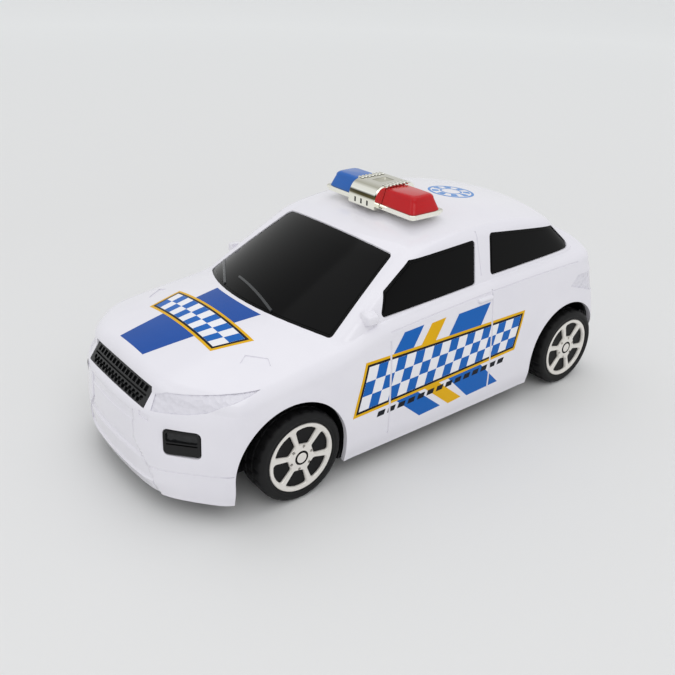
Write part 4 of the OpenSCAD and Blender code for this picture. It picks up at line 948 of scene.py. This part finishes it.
def band(skin, place, low, high, corners, columns, rows, cuts):
    """Chequered band with a dark and a yellow border: its regions, and the solid over all of it."""
    outline = turned_left([tuple(c) for c in corners])
    field, dark, whole = (prism(place, offset(outline, d), low, high) for d in (0, 0.9, 1.9))
    squares = [quad(corners, i / columns, (i + 1) / columns, j / rows, (j + 1) / rows)
               for i in range(columns) for j in range(rows) if (i + j) % 2]
    cells = join(*[prism(place, offset(turned_left(square), -0.02), low, high) for square in squares])
    regions = print_on(skin, "yellow", [whole], [dark, *cuts])
    regions += print_on(skin, "dark", [dark], [field, *cuts])
    regions += print_on(skin, "white", [field], [cells, *cuts])
    regions += print_on(skin, "blue", [cells], cuts)
    return regions, whole


def chevron(top, apex, bottom):
    """Bent stripe from its front and rear ends, listed as pairs of X at the top, the bend and the bottom."""
    return turned_left([(top[0], 52.2), (apex[0], 34.6), (bottom[0], 15.2),
                        (bottom[1], 15.8), (apex[1], 34.6), (top[1], 52.6)])


SIDE_BAND = [(38.6, 27.2), (-42.6, 29.6), (-46, 42.2), (34, 43.6)]
STRIPES = (("blue", (17.6, 8.2), (31, 20.5), (8.4, -2.6)), ("yellow", (4.2, -3.0), (16.8, 9.2), (-7, -14)),
           ("blue", (-9.8, -27.2), (2.4, -16), (-17.4, -35.4)))
BONNET_BAND = [(79.4, 20.5), (79.4, -20.5), (68.6, -23.5), (68.6, 23.5)]
BONNET_PANEL = [(99.2, -8.6), (99.2, 8.6), (50, 15.8), (50, -15.8)]
BONNET_LOW, BONNET_HIGH, ROOF_LOW, ROOF_HIGH = 40, 75, 60, 90


def side_prints(name, low, high):
    """Chequered band, bent stripes and a row of dashes on one side of the car."""
    regions, border = band(lower_skin, SIDE, low, high, SIDE_BAND, 18, 3, keep_off)
    dashes = []
    for i in range(14):
        x, z = 30 - 4.9 * i, 22.2 + 0.14 * i
        dash = [(x - 0.7, z + 2.1), (x - 4.1, z + 2.2), (x - 3.4, z + 0.1), (x, z)]
        dashes.append(prism(SIDE, dash, low, high))
    dashes = join(*dashes)
    for colour, top, apex, bottom in STRIPES:
        stripe = prism(SIDE, chevron(top, apex, bottom), low, high)
        regions += print_on(lower_skin, colour, [stripe], [border, dashes, *keep_off])
    return gather(name, regions + print_on(lower_skin, "dark", [dashes], keep_off))


cowl_cut = cabin_loft(-0.5, fine=0.5)
regions, border = band(lower_skin, PLAN, BONNET_LOW, BONNET_HIGH, BONNET_BAND, 12, 2, [])
panel = prism(PLAN, BONNET_PANEL, BONNET_LOW, BONNET_HIGH)
regions += print_on(lower_skin, "deep", [panel], [border, cowl_cut])
decals = [side_prints("print_left", 20, 60), side_prints("print_right", -60, -20),
          gather("print_bonnet", regions)]

ROOF_MARK = (-48.0, 2.0)


def roof_block(r0, r1, start, sweep, n):
    """Part of a ring on the roof between two radii, from an angle over a sweep in degrees."""
    def arc(r, a0, a1):
        return [(ROOF_MARK[0] + r * math.cos(a), ROOF_MARK[1] + r * math.sin(a))
                for a in np.radians(np.linspace(a0, a1, n))]

    outline = arc(r1, start, start + sweep) + arc(r0, start + sweep, start)
    return prism(PLAN, outline, ROOF_LOW, ROOF_HIGH)


# Roof: two rings in six parts, and eight blocks between them
roof_parts = [roof_block(r0, r1, a, 59.9, 16)
              for r0, r1 in ((8.7, 9.8), (4.0, 4.7)) for a in range(0, 360, 60)]
roof_parts += [roof_block(5.3, 8.1, a, 22.5, 8) for a in range(0, 360, 45)]
decals.append(gather("print_roof", print_on(roof_skin, "sky", roof_parts)))
for skin in (lower_skin, roof_skin):
    discard(skin)

# Every piece rides on its body, and stands for its node; the prints ride on the shell's body
on_body = [(shell, "body_shell", "white_plastic"), (panes, "window_insert", "window_black"),
           (grille, "grille_insert", "trim_black"), (fog_left, "fog_lamp_left", "trim_black"),
           (fog_right, "fog_lamp_right", "trim_black"), (tray, "lightbar_base", "plated_plastic"),
           (bridge, "lightbar_bridge", "plated_plastic"), (lens_left, "lens_red", "lens_red"),
           (lens_right, "lens_blue", "lens_blue")]
pieces = [(obj, node, "car_body", slot) for obj, node, slot in on_body]
pieces += [(obj, node, end + "_wheels", slot) for obj, node, end, slot in wheel_parts]
for obj, node, body, slot in pieces:
    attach(obj, body)
    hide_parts(node)
for obj in decals:
    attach(obj, "car_body")

# Finishes of the solids that no piece stands for; axles, pins, shafts and screws are steel
finishes = {"chassis": under, "hub": hub_black, "gearbox_case": natural, "gearbox_cover": natural,
            "axle_gear": ivory, "idler_gear": ivory, "flywheel_pinion": brass, "flywheel": iron}
for name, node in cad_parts.items():
    if not node.hide_render:
        key = "hub" if name.startswith("hub") else name
        node.data.materials.clear()
        node.data.materials.append(finishes.get(key, steel))

# Floor, in metres, painted paler with distance from the car: painted light, near white far off
NEAR_GREY, FAR_PAINTED_LIGHT = srgb(230, 230, 229), srgb(252, 253, 252)
bm = bmesh.new()
bmesh.ops.create_grid(bm, x_segments=24, y_segments=24, size=3.0)
floor_mesh = bpy.data.meshes.new("floor")
bm.to_mesh(floor_mesh)
bm.free()
floor = placed("floor", floor_mesh)
ground = material("floor", NEAR_GREY, 0.7, srgb(229, 229, 228), mottle=6, depth=0.01, Specular_IOR_Level=0.2)
nodes, links = ground.node_tree.nodes, ground.node_tree.links
kinds = ("TexCoord", "VectorMath", "MapRange", "ValToRGB")
# Painted light: the floor's colour runs from its grey near the car to near white far away
where, away, far, painted_light_ramp = (nodes.new("ShaderNode" + kind) for kind in kinds)
away.operation = "LENGTH"
far.inputs["From Min"].default_value, far.inputs["From Max"].default_value = 0.3, 1.6
for stop, grey in zip(painted_light_ramp.color_ramp.elements, (NEAR_GREY, FAR_PAINTED_LIGHT)):
    stop.color = (*grey, 1)
links.new(where.outputs["Object"], away.inputs[0])
links.new(away.outputs["Value"], far.inputs["Value"])
links.new(far.outputs["Result"], painted_light_ramp.inputs["Fac"])
links.new(painted_light_ramp.outputs["Color"], nodes["Principled BSDF"].inputs["Base Color"])
floor_mesh.materials.append(ground)

# Studio: soft light all round, and a plain grey where the world is seen directly or in a gloss
world = bpy.data.worlds.new("studio")
bpy.context.scene.world = world
world.use_nodes = True
nodes, links = world.node_tree.nodes, world.node_tree.links
nodes.clear()
kinds = ("OutputWorld", "Background", "Background", "MixShader", "LightPath", "Math", "Math")
out, soft, plain, pick, path_kind, direct, seen = (nodes.new("ShaderNode" + kind) for kind in kinds)
soft.inputs["Color"].default_value, soft.inputs["Strength"].default_value = (0.97, 0.98, 1.0, 1), 0.76
plain.inputs["Color"].default_value, plain.inputs["Strength"].default_value = (*srgb(228, 229, 228), 1), 1.0
direct.operation = seen.operation = "MAXIMUM"
links.new(path_kind.outputs["Is Camera Ray"], direct.inputs[0])
links.new(path_kind.outputs["Is Glossy Ray"], direct.inputs[1])
links.new(direct.outputs["Value"], seen.inputs[0])
links.new(path_kind.outputs["Is Transmission Ray"], seen.inputs[1])
links.new(seen.outputs["Value"], pick.inputs["Fac"])
links.new(soft.outputs["Background"], pick.inputs[1])
links.new(plain.outputs["Background"], pick.inputs[2])
links.new(pick.outputs["Shader"], out.inputs["Surface"])


def softbox(name, place, aim, size, watts):
    """White area light; lengths in metres."""
    lamp = bpy.data.lights.new(name, "AREA")
    lamp.shape, lamp.size, lamp.size_y, lamp.energy, lamp.color = "RECTANGLE", *size, watts, (1, 1, 1)
    obj = placed(name, lamp)
    obj.location = place
    obj.rotation_euler = (Vector(aim) - Vector(place)).to_track_quat("-Z", "Y").to_euler()


softbox("key", (0.35, 0.75, 0.95), (0, 0, 0.03), (0.9, 0.7), 2.2)
softbox("top", (-0.2, -0.1, 1.2), (0, 0, 0.03), (1.2, 1.2), 2.2)
softbox("front", (1.1, -0.3, 0.6), (0.05, 0, 0.03), (0.7, 0.7), 0.6)

# Camera, fitted to the photograph: place in metres, then azimuth, elevation and roll in degrees
CAMERA_AT, CAMERA_TURN = Vector((0.1977, 0.2325, 0.1759)), (141.019, 26.218, 1.738)
cam = bpy.data.cameras.new("camera")
cam.lens, cam.sensor_width, cam.clip_start, cam.clip_end = 43.02, 36, 0.01, 20
camera = placed("camera", cam)
az, el, roll = (math.radians(a) for a in CAMERA_TURN)
right = Vector((math.cos(az), math.sin(az), 0))
back = Vector((math.sin(az) * math.cos(el), -math.cos(az) * math.cos(el), math.sin(el)))
up = back.cross(right)
right, up = right * math.cos(roll) + up * math.sin(roll), up * math.cos(roll) - right * math.sin(roll)
camera.matrix_world = Matrix.LocRotScale(CAMERA_AT, Matrix((right, up, back)).transposed(), None)
bpy.context.scene.camera = camera
bpy.context.scene.view_settings.view_transform = "Standard"
